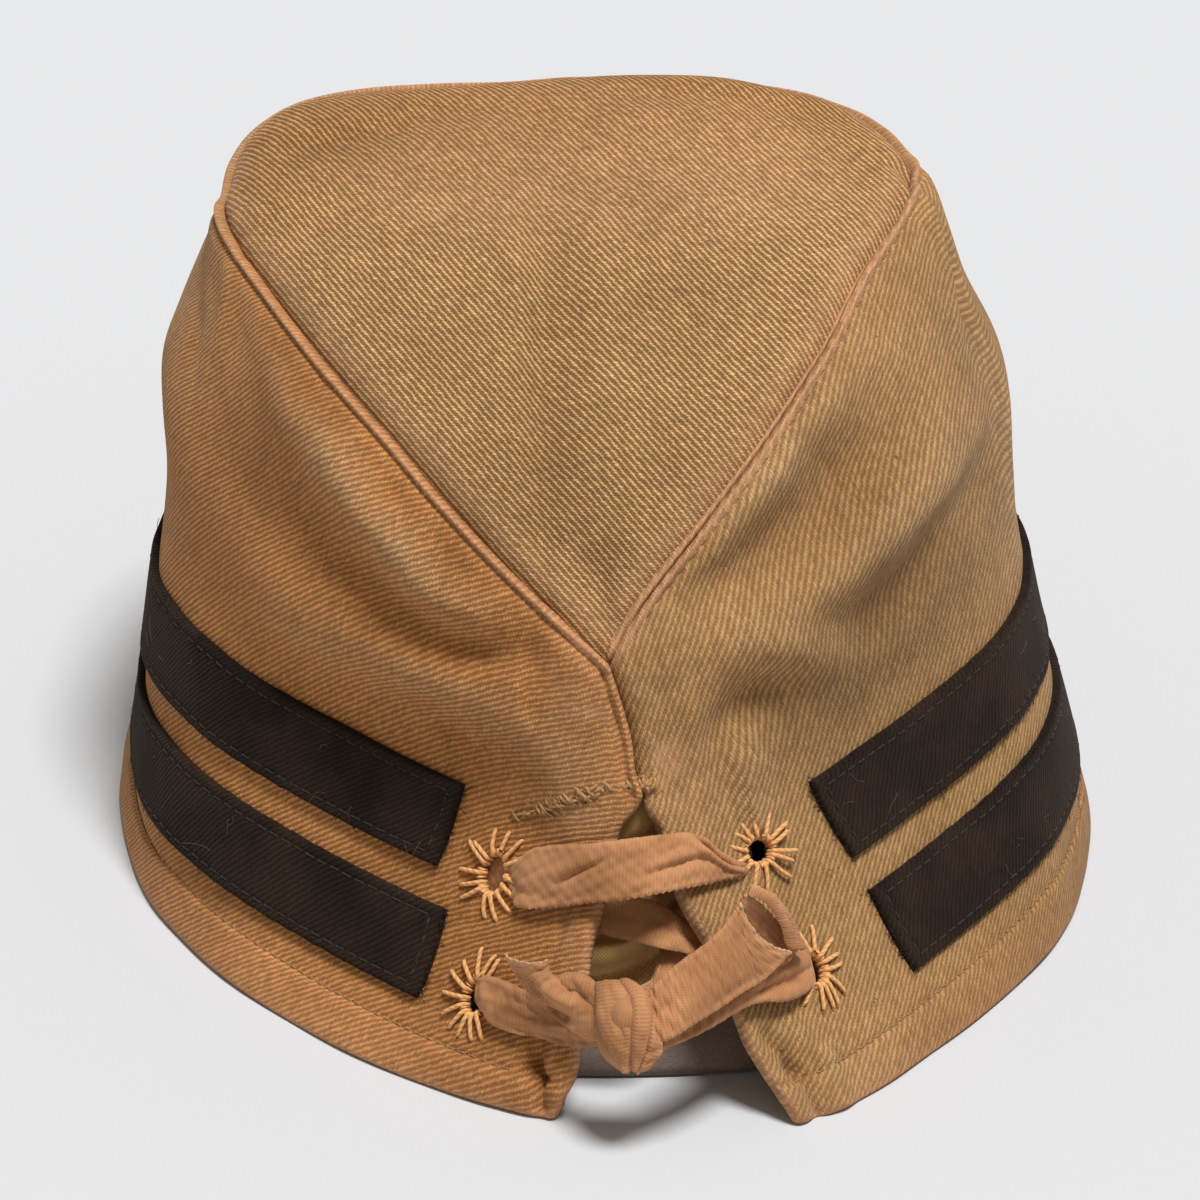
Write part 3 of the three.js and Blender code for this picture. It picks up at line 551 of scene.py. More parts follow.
def beside(turns, levels, distance):
    """The path a given distance to the left of another, seen from outside."""
    points = plain_place(turns, levels)
    along = unit(np.gradient(points, axis=0))
    side = np.cross(normal_at(plain_place, turns, levels), along)
    by_turn = plain_place(turns + BESIDE_TURN, levels) - plain_place(turns - BESIDE_TURN, levels)
    by_level = plain_place(turns, levels + BESIDE_LEVEL) - plain_place(turns, levels - BESIDE_LEVEL)
    by_turn, by_level = by_turn / (2 * BESIDE_TURN), by_level / (2 * BESIDE_LEVEL)
    a, b, c = (by_turn**2).sum(-1), (by_turn * by_level).sum(-1), (by_level**2).sum(-1)
    p, q = (by_turn * side).sum(-1), (by_level * side).sum(-1)
    scale = distance / (a * c - b * b)
    return turns + scale * (c * p - b * q), levels + scale * (a * q - b * p)


# Mesh making


class Piece:
    """The points and faces of one piece, in millimetres, until they become a mesh."""

    def __init__(self):
        self.points, self.faces, self.looks, self.coordinates = [], [], [], []
        self.wear, self.soil_and_painted_shade = [], []
        self.count = 0

    def add(self, points, faces, coordinates=None, wear=0.0, soil_and_painted_shade=0.0, looks=0):
        """Adds points and faces. looks gives each face its place in the list of materials."""
        points = np.asarray(points, float).reshape(-1, 3)
        count = len(points)
        self.points.append(points)
        self.faces += [tuple(int(k) + self.count for k in face) for face in faces]
        self.looks.append(np.broadcast_to(looks, len(faces)))
        self.coordinates.append(np.zeros((count, 2)) if coordinates is None else coordinates.reshape(-1, 2))
        self.wear.append(np.broadcast_to(np.ravel(wear), count))
        self.soil_and_painted_shade.append(np.broadcast_to(np.ravel(soil_and_painted_shade), count))
        self.count += count

    def make(self, name, materials, nodes=()):
        mesh = bpy.data.meshes.new(name)
        mesh.from_pydata((np.vstack(self.points) * MM).tolist(), [], self.faces)
        layer = mesh.uv_layers.new(name="cloth_mm")
        corners = np.empty(len(mesh.loops), np.int32)
        mesh.loops.foreach_get("vertex_index", corners)
        layer.data.foreach_set("uv", np.vstack(self.coordinates)[corners].astype(np.float32).ravel())
        # The second attribute holds soil and painted shade in the folds' hollows, and below zero crests painted
        # paler, partly a painted highlight
        for layer_name, values in (("wear", self.wear), ("soil_and_painted_shade", self.soil_and_painted_shade)):
            layer = mesh.attributes.new(layer_name, "FLOAT", "POINT")
            layer.data.foreach_set("value", np.concatenate(values).astype(np.float32))
        mesh.polygons.foreach_set("material_index", np.concatenate(self.looks).tolist())
        mesh.shade_smooth()
        mesh.validate()
        for material in materials:
            mesh.materials.append(material)
        piece = bpy.data.objects.new(name, mesh)
        bpy.context.scene.collection.objects.link(piece)
        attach(piece, "root")
        if nodes:
            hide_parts(*nodes)


def grid_faces(columns, rows, keep=None, loop=False):
    """Faces of a grid of points, columns anticlockwise and rows upwards, seen from outside."""
    i, j = np.meshgrid(np.arange(columns if loop else columns - 1), np.arange(rows - 1), indexing="ij")
    if keep is not None:
        i, j = i[keep], j[keep]
    i, j = i.ravel(), j.ravel()
    after = (i + 1) % columns
    return np.stack([i * rows + j, after * rows + j, after * rows + j + 1, i * rows + j + 1], -1)


def thick_sheet(piece, outer, inner, coordinates, wear=0.0, keep=None, loop=False, inner_look=0, soil_and_painted_shade=0.0):
    """A closed sheet between two grids of points, with walls wherever its faces end."""
    columns, rows = outer.shape[:2]
    half = columns * rows
    faces = grid_faces(columns, rows, keep, loop)
    edges = np.concatenate([faces[:, [k, (k + 1) % 4]] for k in range(4)])
    start, end = edges[~np.isin(edges @ [half, 1], edges @ [1, half])].T
    walls = np.stack([end, start, start + half, end + half], -1)
    looks = [0] * (len(faces) + len(walls)) + [inner_look] * len(faces)
    points = np.concatenate([outer.reshape(-1, 3), inner.reshape(-1, 3)])
    flat = np.tile(coordinates.reshape(-1, 2), (2, 1))
    worn, soil_and_shade_amount = (np.tile(np.broadcast_to(v, (columns, rows)).ravel(), 2) for v in (wear, soil_and_painted_shade))
    piece.add(points, np.concatenate([faces, walls, faces[:, ::-1] + half]), flat, worn, soil_and_shade_amount, looks)


TUBE_GUIDE = [0.3, 0.2, 1.0]  # a way that hardly any thread runs along


def tube(piece, path, radii, sides=6):
    """A closed tube along a path."""
    path = np.asarray(path, float)
    along = unit(np.gradient(path, axis=0))
    side = unit(np.cross(along, TUBE_GUIDE))
    over = np.cross(side, along)
    angles = np.arange(sides) * 2 * np.pi / sides
    radii = np.broadcast_to(radii, len(path))
    ring = side[:, None] * np.cos(angles)[:, None] + over[:, None] * np.sin(angles)[:, None]
    points = path[:, None] + ring * radii[:, None, None]
    count = len(path)
    i, k = (v.ravel() for v in np.meshgrid(np.arange(count - 1), np.arange(sides), indexing="ij"))
    here, after = i * sides, (k + 1) % sides
    faces = np.stack([here + k, here + sides + k, here + sides + after, here + after], -1).tolist()
    faces.append(list(range(sides)))
    faces.append(list(range(count * sides - 1, (count - 1) * sides - 1, -1)))
    flat = np.stack(np.broadcast_arrays(run_length(path)[:, None], angles * radii.mean()), -1)
    piece.add(points, faces, flat)


def even_steps(path, step):
    """The length run at each point of a path, and even steps along it."""
    length = run_length(path)
    return length, np.linspace(0, length[-1], max(int(round(length[-1] / step)), 1) + 1)


def resampled(path, step):
    """Points at even steps along a path, and the share of the path that each has run."""
    length, wanted = even_steps(path, step)
    return read_path(length, path, wanted), wanted / length[-1]


# Stitches

# One stitch. Columns: share of its length, rise, thickness.
STITCH_SHAPE = np.array(
    [[0, -0.3, 0.45], [0.18, 0.12, 0.9], [0.5, 0.22, 1], [0.82, 0.12, 0.9], [1, -0.3, 0.45]]
)
STITCH_GAP = 0.1  # at each end, as a share of the pitch
HOLE_SIDES = 7
HOLE_GUIDE = [0.3, 0.5, 0.8]  # a way that no cloth faces where a hole is
HOLE_SUNK = 0.15


def needle_hole(piece, point, normal, size, lift=0.08):
    """A small dark disc on the cloth, sunk at its rim: painted shade in a needle hole."""
    across = unit(np.cross(normal, HOLE_GUIDE))
    other = np.cross(normal, across)
    angles = np.arange(HOLE_SIDES) * 2 * np.pi / HOLE_SIDES
    rim = point + size * (across * np.cos(angles)[:, None] + other * np.sin(angles)[:, None])
    faces = [(k, (k + 1) % HOLE_SIDES, HOLE_SIDES) for k in range(HOLE_SIDES)]
    piece.add(np.vstack([rim - normal * HOLE_SUNK, point + normal * lift]), faces)


def fibres(piece, turns, levels, lengths, radius, lifts, curl=0.6):
    """Short curled fibres that lie on the cloth, one for each place."""
    share = np.linspace(0, 1, 7)[:, None]
    for start, normal, length in zip(lifted(turns, levels, lifts), cloth_normal(turns, levels), lengths):
        way = unit(np.cross(normal, rng.normal(size=3)))
        side = np.cross(normal, way)
        bend = rng.normal(size=2) * curl
        curve = bend[0] * share**2 + bend[1] * np.sin(4 * share) * 0.3
        line = start + length * (way * (share - 0.5) + side * curve)
        line = line + normal * (0.25 * np.sin(np.pi * share) * rng.uniform(0, 1))
        tube(piece, line, radius, 4)


def stitches(piece, holes, turns, levels, lift, pitch, radius, sunk=0.75, hole_size=0.32):
    """A row of stitches along a path on the cloth, with a dark disc of painted shade for a needle hole between
    each two.
    """
    path = lifted(turns, levels, lift)
    length, wanted = even_steps(path, pitch)
    even = read_path(length, path, wanted)
    outward = unit(read_path(length, cloth_normal(turns, levels), wanted))
    along, up, thick = STITCH_SHAPE.T
    share = STITCH_GAP + along * (1 - 2 * STITCH_GAP)
    for start, end, normal in zip(even[:-1], even[1:], outward[:-1]):
        shake = rng.normal(size=3) * radius * 0.22
        line = start + (end - start) * share[:, None] + normal * (up * radius / 0.3 * sunk)[:, None]
        line[1:-1] += shake * 0.6
        tube(piece, line, radius * thick)
    for point, normal in zip(even, outward):
        needle_hole(holes, point, normal, hole_size, radius * 0.25)


# Materials


class Graph:
    """Short calls that add a node, set its inputs and return its output."""

    def __init__(self, name):
        self.material = bpy.data.materials.new(name)
        self.material.use_nodes = True
        self.tree = self.material.node_tree
        self.tree.nodes.clear()
        self.output = self.tree.nodes.new("ShaderNodeOutputMaterial")

    def node(self, kind, inputs=None, **settings):
        made = self.tree.nodes.new("ShaderNode" + kind)
        for key, value in settings.items():
            setattr(made, key, value)
        for key, value in (inputs or {}).items():
            if isinstance(value, bpy.types.NodeSocket):
                self.tree.links.new(value, made.inputs[key])
            else:
                made.inputs[key].default_value = value
        return made

    def place(self):
        return self.node("TexCoord").outputs["Object"]

    def flat(self):
        """The place on the flat cloth, in millimetres."""
        return self.node("UVMap", uv_map="cloth_mm").outputs[0]

    def layer(self, name):
        return self.node("Attribute", attribute_name=name).outputs["Fac"]

    def parts(self, vector):
        return self.node("SeparateXYZ", {0: vector}).outputs

    def math(self, operation, a, b=0.0, c=0.0):
        return self.node("Math", {0: a, 1: b, 2: c}, operation=operation).outputs[0]

    def vector(self, operation, inputs):
        return self.node("VectorMath", inputs, operation=operation).outputs[0]

    def times(self, a, b):
        return self.math("MULTIPLY", a, b)

    def scaled(self, value, by, plus):
        return self.math("MULTIPLY_ADD", value, by, plus)

    def wave(self, value, length):
        """A sine wave of the given length."""
        return self.math("SINE", self.times(value, 2 * math.pi / length))

    def arches(self, value):
        """A row of half waves, each from one whole number to the next."""
        return self.math("SINE", self.times(self.math("FRACT", value), math.pi))

    def noise(self, vector, scale, detail=2.0, rough=0.5, output=0):
        inputs = {"Vector": vector, "Scale": scale, "Detail": detail, "Roughness": rough}
        return self.node("TexNoise", inputs).outputs[output]

    def shake(self, vector, scale, detail, amount):
        """A random shift, much the same for places close together."""
        noise = self.noise(vector, scale, detail, 0.6, "Color")
        centred = self.vector("SUBTRACT", {0: noise, 1: (0.5, 0.5, 0.5)})
        return self.vector("SCALE", {0: centred, "Scale": amount})

    def remap(self, value, low, high, to_low=0.0, to_high=1.0):
        inputs = {0: value, 1: low, 2: high, 3: to_low, 4: to_high}
        return self.node("MapRange", inputs, interpolation_type="SMOOTHSTEP").outputs[0]

    def mix(self, factor, a, b, blend="MIX"):
        inputs = {0: factor, 6: a, 7: b}
        return self.node("Mix", inputs, data_type="RGBA", blend_type=blend).outputs[2]

    def grey(self, tone):
        return self.node("CombineXYZ", {0: tone, 1: tone, 2: tone}).outputs[0]

    def shaded(self, colour, tone):
        return self.mix(1.0, colour, self.grey(tone), "MULTIPLY")

    def finish(self, colour, roughness, height=None, depth=0.1, sheen=0.0, sheen_tint=(1, 1, 1), gloss=0.25):
        """Ends the material. depth is that of its bumps, in millimetres."""
        inputs = {"Base Color": colour, "Roughness": roughness, "Specular IOR Level": gloss}
        if height is not None:
            inputs["Normal"] = self.node("Bump", {"Height": height, "Distance": depth * MM}).outputs[0]
        inputs.update({"Sheen Weight": sheen, "Sheen Roughness": 0.5, "Sheen Tint": (*sheen_tint, 1)})
        shader = self.node("BsdfPrincipled", inputs)
        self.tree.links.new(shader.outputs[0], self.output.inputs[0])
        return self.material


CLOTH_SHARE = 0.8  # of the light that a colour as seen under the strong lamp stands for


def linear(red, green, blue):
    """A colour given as it is seen when lit, from 0 to 255, as the linear values that a shader takes."""
    values = [v / 255 for v in (red, green, blue)]
    values = [v / 12.92 if v <= 0.04045 else ((v + 0.055) / 1.055) ** 2.4 for v in values]
    return (*[v * CLOTH_SHARE for v in values], 1.0)


WORN_COLOUR = linear(218, 162, 120)
STAIN_COLOUR = linear(146, 114, 66)
FRONT_COLOURS = (linear(170, 128, 80), linear(198, 152, 99))  # all panels are alike towards the front
FRONT_FROM, FRONT_TO = -0.05, 0.03  # metres along Y over which they become so
# The colour of soil and painted shade in the folds' hollows, and that of crests painted paler, partly rubbed
# and partly a painted highlight
SOIL_AND_SHADE_COLOUR = linear(126, 80, 38)
CREST_COLOUR = linear(206, 168, 124)
SPECK_COLOUR = linear(74, 50, 30)
SPECK_SHARE = 0.5
RIB_PAINTED_SHADE = (0.42, 0.52, 0.62)  # painted shade: how much of each colour the grooves between the ribs take away
RIB_PAINTED_HIGHLIGHT = (0.2, 0.21, 0.22)  # and how much the ribs add, a painted highlight
TWILL_LEAN = 45  # degrees from the yarns to the ribs
YARNS_PER_RIB = 3.0


def twill_height(g, angle, yarn, wobble=0.3, sharp=0.8):
    """The height of a twill, 0 to 1, a shade for each of its floats, and its flat place.

    The ribs lie at an angle, in degrees, and are three yarns apart. A float is one yarn's crossing of a rib.
    """
    flat = g.flat()
    shift = g.vector("ADD", {0: g.shake(flat, 0.12, 3.0, wobble * 4), 1: g.shake(flat, 1.1, 2.0, 0.5)})
    flat = g.vector("ADD", {0: flat, 1: shift})
    turn = (0, 0, math.radians(TWILL_LEAN - angle))
    turned = g.parts(g.node("Mapping", {"Vector": flat, "Rotation": turn}).outputs[0])
    a = g.math("DIVIDE", turned[0], yarn)
    b = g.math("DIVIDE", turned[1], yarn)
    rib_place = g.math("DIVIDE", g.math("SUBTRACT", b, a), YARNS_PER_RIB)
    ribs = g.math("COSINE", g.times(rib_place, 2 * math.pi))
    ribs = g.math("POWER", g.scaled(ribs, 0.5, 0.5), sharp)
    warp = g.times(ribs, g.scaled(g.arches(a), 0.6, 0.4))
    height = g.math("MAXIMUM", warp, g.times(g.arches(b), 0.22))
    cell = g.node("CombineXYZ", {0: g.math("FLOOR", a), 1: g.math("FLOOR", g.math("ADD", rib_place, 0.5))})
    shade = g.node("TexWhiteNoise", {"Vector": cell.outputs[0]}, noise_dimensions="2D").outputs[0]
    return height, shade, flat


def twill(name, angle, pale, deep, yarn=0.42, contrast=1.0, sharp=0.8):
    """Cotton twill: pale and deep are the two tints that the cloth drifts between."""
    g = Graph(name)
    height, shade, flat = twill_height(g, angle, yarn, 0.1, sharp)
    place = g.place()
    tone = g.math("ADD", g.times(g.noise(place, 24, 3.0), 0.75), g.times(g.noise(place, 160, 2.0, 0.6), 0.25))
    patchy = g.remap(tone, 0.3, 0.7)
    forward = g.remap(g.parts(place)[1], FRONT_FROM, FRONT_TO)
    cloth = g.mix(forward, g.mix(patchy, linear(*deep), linear(*pale)), g.mix(patchy, *FRONT_COLOURS))
    worn, soil_and_shade_amount = g.layer("wear"), g.layer("soil_and_painted_shade")
    stain = g.remap(g.noise(place, 9), 0.5, 0.72)
    tints = ((worn, 0.75, WORN_COLOUR), (stain, 0.35, STAIN_COLOUR))
    # Wear and stains, then soil and painted shade in the hollows, then crests painted paler, partly a painted
    # highlight
    for share, strength, colour in (*tints, (soil_and_shade_amount, 0.8, SOIL_AND_SHADE_COLOUR), (soil_and_shade_amount, -1.0, CREST_COLOUR)):
        cloth = g.mix(g.times(share, strength), cloth, colour)
    dark = (*[1 - v * contrast for v in RIB_PAINTED_SHADE], 1)
    light = (*[1 + v * contrast * sharp for v in RIB_PAINTED_HIGHLIGHT], 1)
    flattened_rib = g.scaled(worn, -0.6, 1.0)
    # Grooves between the ribs painted darker and ribs paler, a painted shade and highlight, less so where the
    # cloth is worn
    cloth = g.mix(flattened_rib, cloth, g.mix(g.remap(height, 0.05, 0.85), dark, light), "MULTIPLY")
    fibre = g.scaled(g.noise(flat, 4.5, 2.0, 0.7), 0.7, 0.65)
    cloth = g.shaded(cloth, g.times(g.scaled(shade, 0.34, 0.83), fibre))
    cells = g.node("TexVoronoi", {"Vector": place, "Scale": 95.0}, feature="F1").outputs[0]
    chosen = g.math("GREATER_THAN", g.noise(place, 30, 1.0), SPECK_SHARE)
    speck = g.times(g.remap(cells, 0.018, 0.042, 1.0, 0.0), chosen)
    cloth = g.mix(g.times(speck, 0.7), cloth, SPECK_COLOUR)
    bumps = g.math("ADD", height, g.times(g.noise(place, 900), 0.3))
    return g.finish(cloth, 0.92, bumps, 0.12, 0.08, (1.0, 0.86, 0.68), 0.16)


def cloudy(g, scale, deep, pale, detail=3.0, low=0.35, high=0.65):
    """A colour that drifts between two tints."""
    return g.mix(g.remap(g.noise(g.place(), scale, detail, 0.6), low, high), linear(*deep), linear(*pale))


def wool(name):
    g = Graph(name)
    height, shade, _ = twill_height(g, 52, 0.36)
    # Darker in the weave's grooves and paler on its ribs, a painted shade and highlight, times a random tone
    # for each float
    tone = g.times(g.scaled(height, 0.9, 0.65), g.scaled(shade, 0.24, 0.88))
    cloth = g.shaded(cloudy(g, 60, (32, 22, 16), (47, 34, 25)), tone)
    bumps = g.math("ADD", height, g.times(g.noise(g.place(), 1400, 3.0), 0.8))
    return g.finish(cloth, 0.97, bumps, 0.14, 0.04, (0.9, 0.72, 0.6), 0.12)


def thread(name, colour, depth=0.08):
    """Plied thread."""
    g = Graph(name)
    inputs = {"Vector": g.flat(), "Scale": 0.55, "Distortion": 1.5, "Detail": 1.0}
    ply = g.node("TexWave", inputs, bands_direction="DIAGONAL").outputs["Fac"]
    # Darker in the grooves between the plies: painted shade
    cloth = g.shaded(linear(*colour), g.scaled(ply, 0.35, 0.78))
    return g.finish(cloth, 0.8, ply, depth, 0.1)


def tape_cloth(name):
    """Woven tape: fine ribs across it, warm brown."""
    g = Graph(name)
    flat = g.flat()
    along, across = g.parts(flat)[:2]
    rib = g.wave(along, 0.55)
    weave = g.times(rib, g.wave(across, 0.42))
    height = g.scaled(weave, 0.25, g.scaled(rib, 0.25, 0.5))
    cloth = cloudy(g, 90, (176, 120, 76), (204, 144, 96))
    cloth = g.mix(g.times(g.layer("wear"), 0.6), cloth, linear(226, 168, 122))
    fuzz = g.scaled(g.noise(flat, 3.0), 0.2, 0.9)
    # Darker in the grooves of the weave, a painted shade, times a faint random fuzz
    cloth = g.shaded(cloth, g.times(g.scaled(height, 0.3, 0.86), fuzz))
    return g.finish(cloth, 0.85, height, 0.06, 0.15, (1.0, 0.85, 0.7))


def plain_weave(name, pale, deep):
    g = Graph(name)
    warp, weft = (g.wave(part, 0.6) for part in g.parts(g.flat())[:2])
    height = g.scaled(g.times(warp, weft), 0.5, 0.5)
    # Darker where the yarns dip: painted shade
    cloth = g.shaded(cloudy(g, 45, deep, pale), g.scaled(height, 0.25, 0.86))
    return g.finish(cloth, 0.9, height, 0.08)


def leather(name):
    g = Graph(name)
    grain = g.node("TexVoronoi", {"Vector": g.place(), "Scale": 900.0}, feature="DISTANCE_TO_EDGE").outputs[0]
    colour = cloudy(g, 40, (112, 95, 84), (150, 131, 116), 4.0, 0.3, 0.7)
    bumps = g.math("ADD", g.remap(grain, 0.0, 0.12), g.noise(g.place(), 40, 4.0, 0.6))
    return g.finish(colour, 0.6, bumps, 0.06)


twill_left = twill("khaki_twill_left", 40, (212, 150, 90), (182, 125, 71), 0.39, 1.0, 1.0)
twill_right = twill("khaki_twill_right", 73, (194, 152, 102), (166, 128, 82), 0.42, 0.85, 1.0)
twill_top = twill("khaki_twill_top", -47, (202, 165, 117), (176, 142, 98), 0.4, 1.3, 1.7)
twill_peak = twill("khaki_twill_peak", 45, (194, 150, 100), (166, 126, 80))
lining_cotton = plain_weave("lining_cotton", (232, 186, 118), (184, 138, 80))
dark_wool = wool("dark_wool")
band_leather = leather("band_leather")
lace_tape = tape_cloth("lace_tape")
seam_thread = thread("seam_thread", (164, 122, 78))
wool_thread = thread("wool_thread", (50, 41, 35))
eyelet_thread = thread("eyelet_thread", (244, 180, 114), 0.04)
bar_thread = thread("bar_thread", (190, 142, 90), 0.04)
lint_fibre = thread("lint_fibre", (104, 90, 78), 0.02)
fray_thread = thread("fray_thread", (216, 164, 116))
needle_shadow = thread("needle_shadow", (52, 34, 20))


# Crown


def seam_path(table, step=1.0):
    """The seam's turns and levels, at even steps of cloth."""
    turns = np.linspace(table[0][0], table[-1][0], 800)
    levels = smooth(table, turns)
    length = run_length(plain_place(turns, levels))
    wanted = np.linspace(0, length[-1], int(length[-1] / step) + 1)
    return read_path(length, np.stack([turns, levels], -1), wanted).T


def steps_to(total, fine, first, last, growth):
    """Distances from 0 to total: the fine ones, then steps that grow from first to last."""
    distances = list(fine)
    step = first
    while distances[-1] + step < total:
        distances.append(distances[-1] + step)
        step = min(step * growth, last)
    return np.array(distances)


SEAMS = {"left": SEAM_LEFT, "right": SEAM_RIGHT}
WAYS = {"left": -1, "right": 1}
EDGE_COLUMNS = {"left": 1, "right": 2}  # of BACK_EDGES
FLAT_COLUMNS = 46
FLAT_ROWS = 18
FLAT_ENDS = {"left": (6.0, -186.0), "right": (-12.0, 186.0)}  # turns at the back and at the front
FLAT_OVER = 0.12  # how many levels past the seam the flat cloth goes
FLAT_MIDDLE = 60.0  # the turn that lengths round the cap are first counted from
BIAS_TURN = -48.0  # from here to the slit the left panel's ribs level out
BIAS_PULL = 0.035


def side_coordinates(side, turns, levels):
    """Millimetres on the flat cloth of a side panel, along the rim and up, for its weave."""
    back, front = FLAT_ENDS[side]
    shares = np.linspace(0, 1, FLAT_COLUMNS)
    column_turns = back + shares * (front - back)
    tops = smooth(SEAMS[side], column_turns) + FLAT_OVER
    grid_levels = tops[:, None] * np.linspace(0, 1, FLAT_ROWS)
    grid_turns = np.broadcast_to(column_turns[:, None], grid_levels.shape)
    middle = np.full_like(grid_levels, WAYS[side] * FLAT_MIDDLE)
    around = read_grid(GRID_AROUND, grid_turns, grid_levels) - read_grid(GRID_AROUND, middle, grid_levels)
    start = np.stack([around, height_at(grid_turns, grid_levels)], -1)
    flat = flattened(plain_place(grid_turns, grid_levels), start)
    share = (turns - back) / (front - back)
    read = between(flat, share, levels / np.interp(share, shares, tops))
    if side == "left":
        read[..., 1] += BIAS_PULL * np.clip(turns - BIAS_TURN, 0, None) ** 1.5
    return read


# Rubbed places. Columns: turn, level, width in degrees, width in levels, share.
WORN_SPOTS = {
    "left": [[-9.5, 2.66, 3.0, 0.05, 0.5], [-22, 2.05, 9, 0.06, 0.25], [-19.5, 1.5, 1.8, 0.35, 0.5]],
    "right": [
        [5.5, 2.42, 3.0, 0.06, 0.9], [8.5, 2.34, 2.0, 0.05, 0.8],
        [3.0, 2.27, 4.0, 0.04, 0.7], [12, 2.1, 4, 0.2, 0.3],
    ],
}  # fmt: skip

# Where the points of a side panel lie: distances from its back edge, its front edge, its rim and its seam
BACK_STEPS = [0, 0.12, 0.3, 0.55, 0.85, 1.15, 1.35, 1.6, 1.95, 2.5, 3.2]
BACK_GROWTH = (0.62, 1.7, 1.012)  # first step, last step, growth
FRONT_STEPS = [5.2, 4.2, 3.2, 2.4, 1.7, 1.2, 0.8, 0.5, 0.25, 0]
RIM_STEPS = [0, 0.12, 0.3, 0.55, 0.9, 1.4, 2.1, 3, 4, 5, 6, 6.8, 7.3, 7.65, 7.9, 8.15, 8.5, 9, 9.8]
SEAM_STEPS = [9, 8, 7, 6.1, 5.2, 4.4, 3.7, 3.1, 2.6, 2.2, 1.85, 1.6, 1.4, 1.2, 0.95, 0.6, 0.3, 0.12, 0]
MIDDLE_ROWS = 64
HALF_ROUND = 268.0  # from the back edge round to the front, at the rim
SLIT_FADE = 0.12  # levels over which the slit's edge goes over to the back seam
SLIT_FADE_BELOW = 0.1  # how far below the slit's top that begins
TUCK_TURN = 1.6  # how many degrees past the back seam the right panel goes on
TUCK_DEPTH = -1.3
TUCK_START = 2.4  # the distance in TUCKED_PROFILE at which the right panel comes out


def side_grid(side):
    """Turns and levels of a side panel's points, with fine rows at its rim, its hem and its seam."""
    front = WAYS[side] * 180
    back_steps = steps_to(HALF_ROUND - 6, BACK_STEPS, *BACK_GROWTH)
    shares = np.concatenate([back_steps, HALF_ROUND - np.array(FRONT_STEPS)]) / HALF_ROUND
    tops = smooth(SEAMS[side], POINT[0] + shares * (front - POINT[0]))
    levels = tops[:, None] * np.linspace(0, 1, 240)
    edge = smooth(BACK_EDGES, levels, EDGE_COLUMNS[side])
    if side == "right":
        edge = edge - TUCK_TURN * ease((levels - SLIT_TOP) / SLIT_FADE)
    turns = edge + shares[:, None] * (front - edge)
    columns = []
    for length, *places in zip(run_length(plain_place(turns, levels), 1), turns, levels):
        middle = np.linspace(RIM_STEPS[-1], length[-1] - SEAM_STEPS[0], MIDDLE_ROWS + 2)[1:-1]
        wanted = np.concatenate([RIM_STEPS, middle, length[-1] - np.array(SEAM_STEPS)])
        columns.append(read_path(length, np.stack(places, -1), wanted))
    return np.moveaxis(np.array(columns), -1, 0)


# Wear beside each kind of edge: where it is strongest, its width and its share
EDGE_WEAR = {
    "seam": (0.7, 0.7, 1.0),
    "rim": (0, 1.3, 1.0),
    "hem": (0, 9, 0.3),
    "slit": (0, 0.8, 0.8),
    "back": (0, 12, 0.4),
    "top": (2.5, 2.2, 0.35),
}


def edge_wear(kind, distance):
    start, width, share = EDGE_WEAR[kind]
    return share * bell(distance - start, width)


def side_relief(side, turns, levels, points):
    """Lift of the outside from its lapped seam, its hem and its back edge, and how worn each place is."""
    from_seam = distance_to(points, plain_place(*seam_path(SEAMS[side], 2.0)))
    edge_levels = (np.linspace(0, SLIT_TOP, 60), np.linspace(SLIT_TOP, POINT[1], 60))
    lines = [plain_place(smooth(BACK_EDGES, line, EDGE_COLUMNS[side]), line) for line in edge_levels]
    from_slit, from_back = (distance_to(points, line) for line in lines)
    height = height_at(turns, levels)
    slit_part = 1 - ease((levels - SLIT_TOP + SLIT_FADE_BELOW) / SLIT_FADE)
    lift = profile(LAP_PROFILE, from_seam) + profile(HEM_PROFILE, height)
    lift = lift + profile(SLIT_PROFILE, from_slit) * slit_part
    wear = edge_wear("seam", from_seam) + edge_wear("rim", height) + edge_wear("hem", height)
    wear = wear + edge_wear("slit", from_slit) * slit_part
    if side == "left":
        lift = lift + profile(LAP_PROFILE, from_back) * (1 - slit_part)
        wear = wear + edge_wear("back", from_back)
    else:
        beyond = turns < smooth(BACK_EDGES, levels, 2)
        tucked = np.where(beyond, TUCK_DEPTH, profile(TUCKED_PROFILE, from_back + TUCK_START))
        lift = lift * np.where(beyond, slit_part, 1) + tucked * (1 - slit_part)
    for turn0, level0, wide, tall, share in WORN_SPOTS[side]:
        wear = wear + share * bell(turns - turn0, wide) * bell(levels - level0, tall)
    return lift, np.clip(wear, 0, 1)


def eyelet_frame(name):
    """The middle of an eyelet, and the ways to its right, up the cloth and out of it."""
    turn, level = (np.array(v, float) for v in EYELETS[name])
    out = cloth_normal(turn, level)
    right = unit(np.cross([0, 0, 1.0], out))
    return cloth_place(turn, level), right, np.cross(out, right), out


HOLE_INSIDE = 1.35  # points nearer than this to an eyelet's middle lose their faces
HOLE_FROM = 1.8  # and those from here to HOLE_REACH are spread out evenly
HOLE_REACH = 8.0


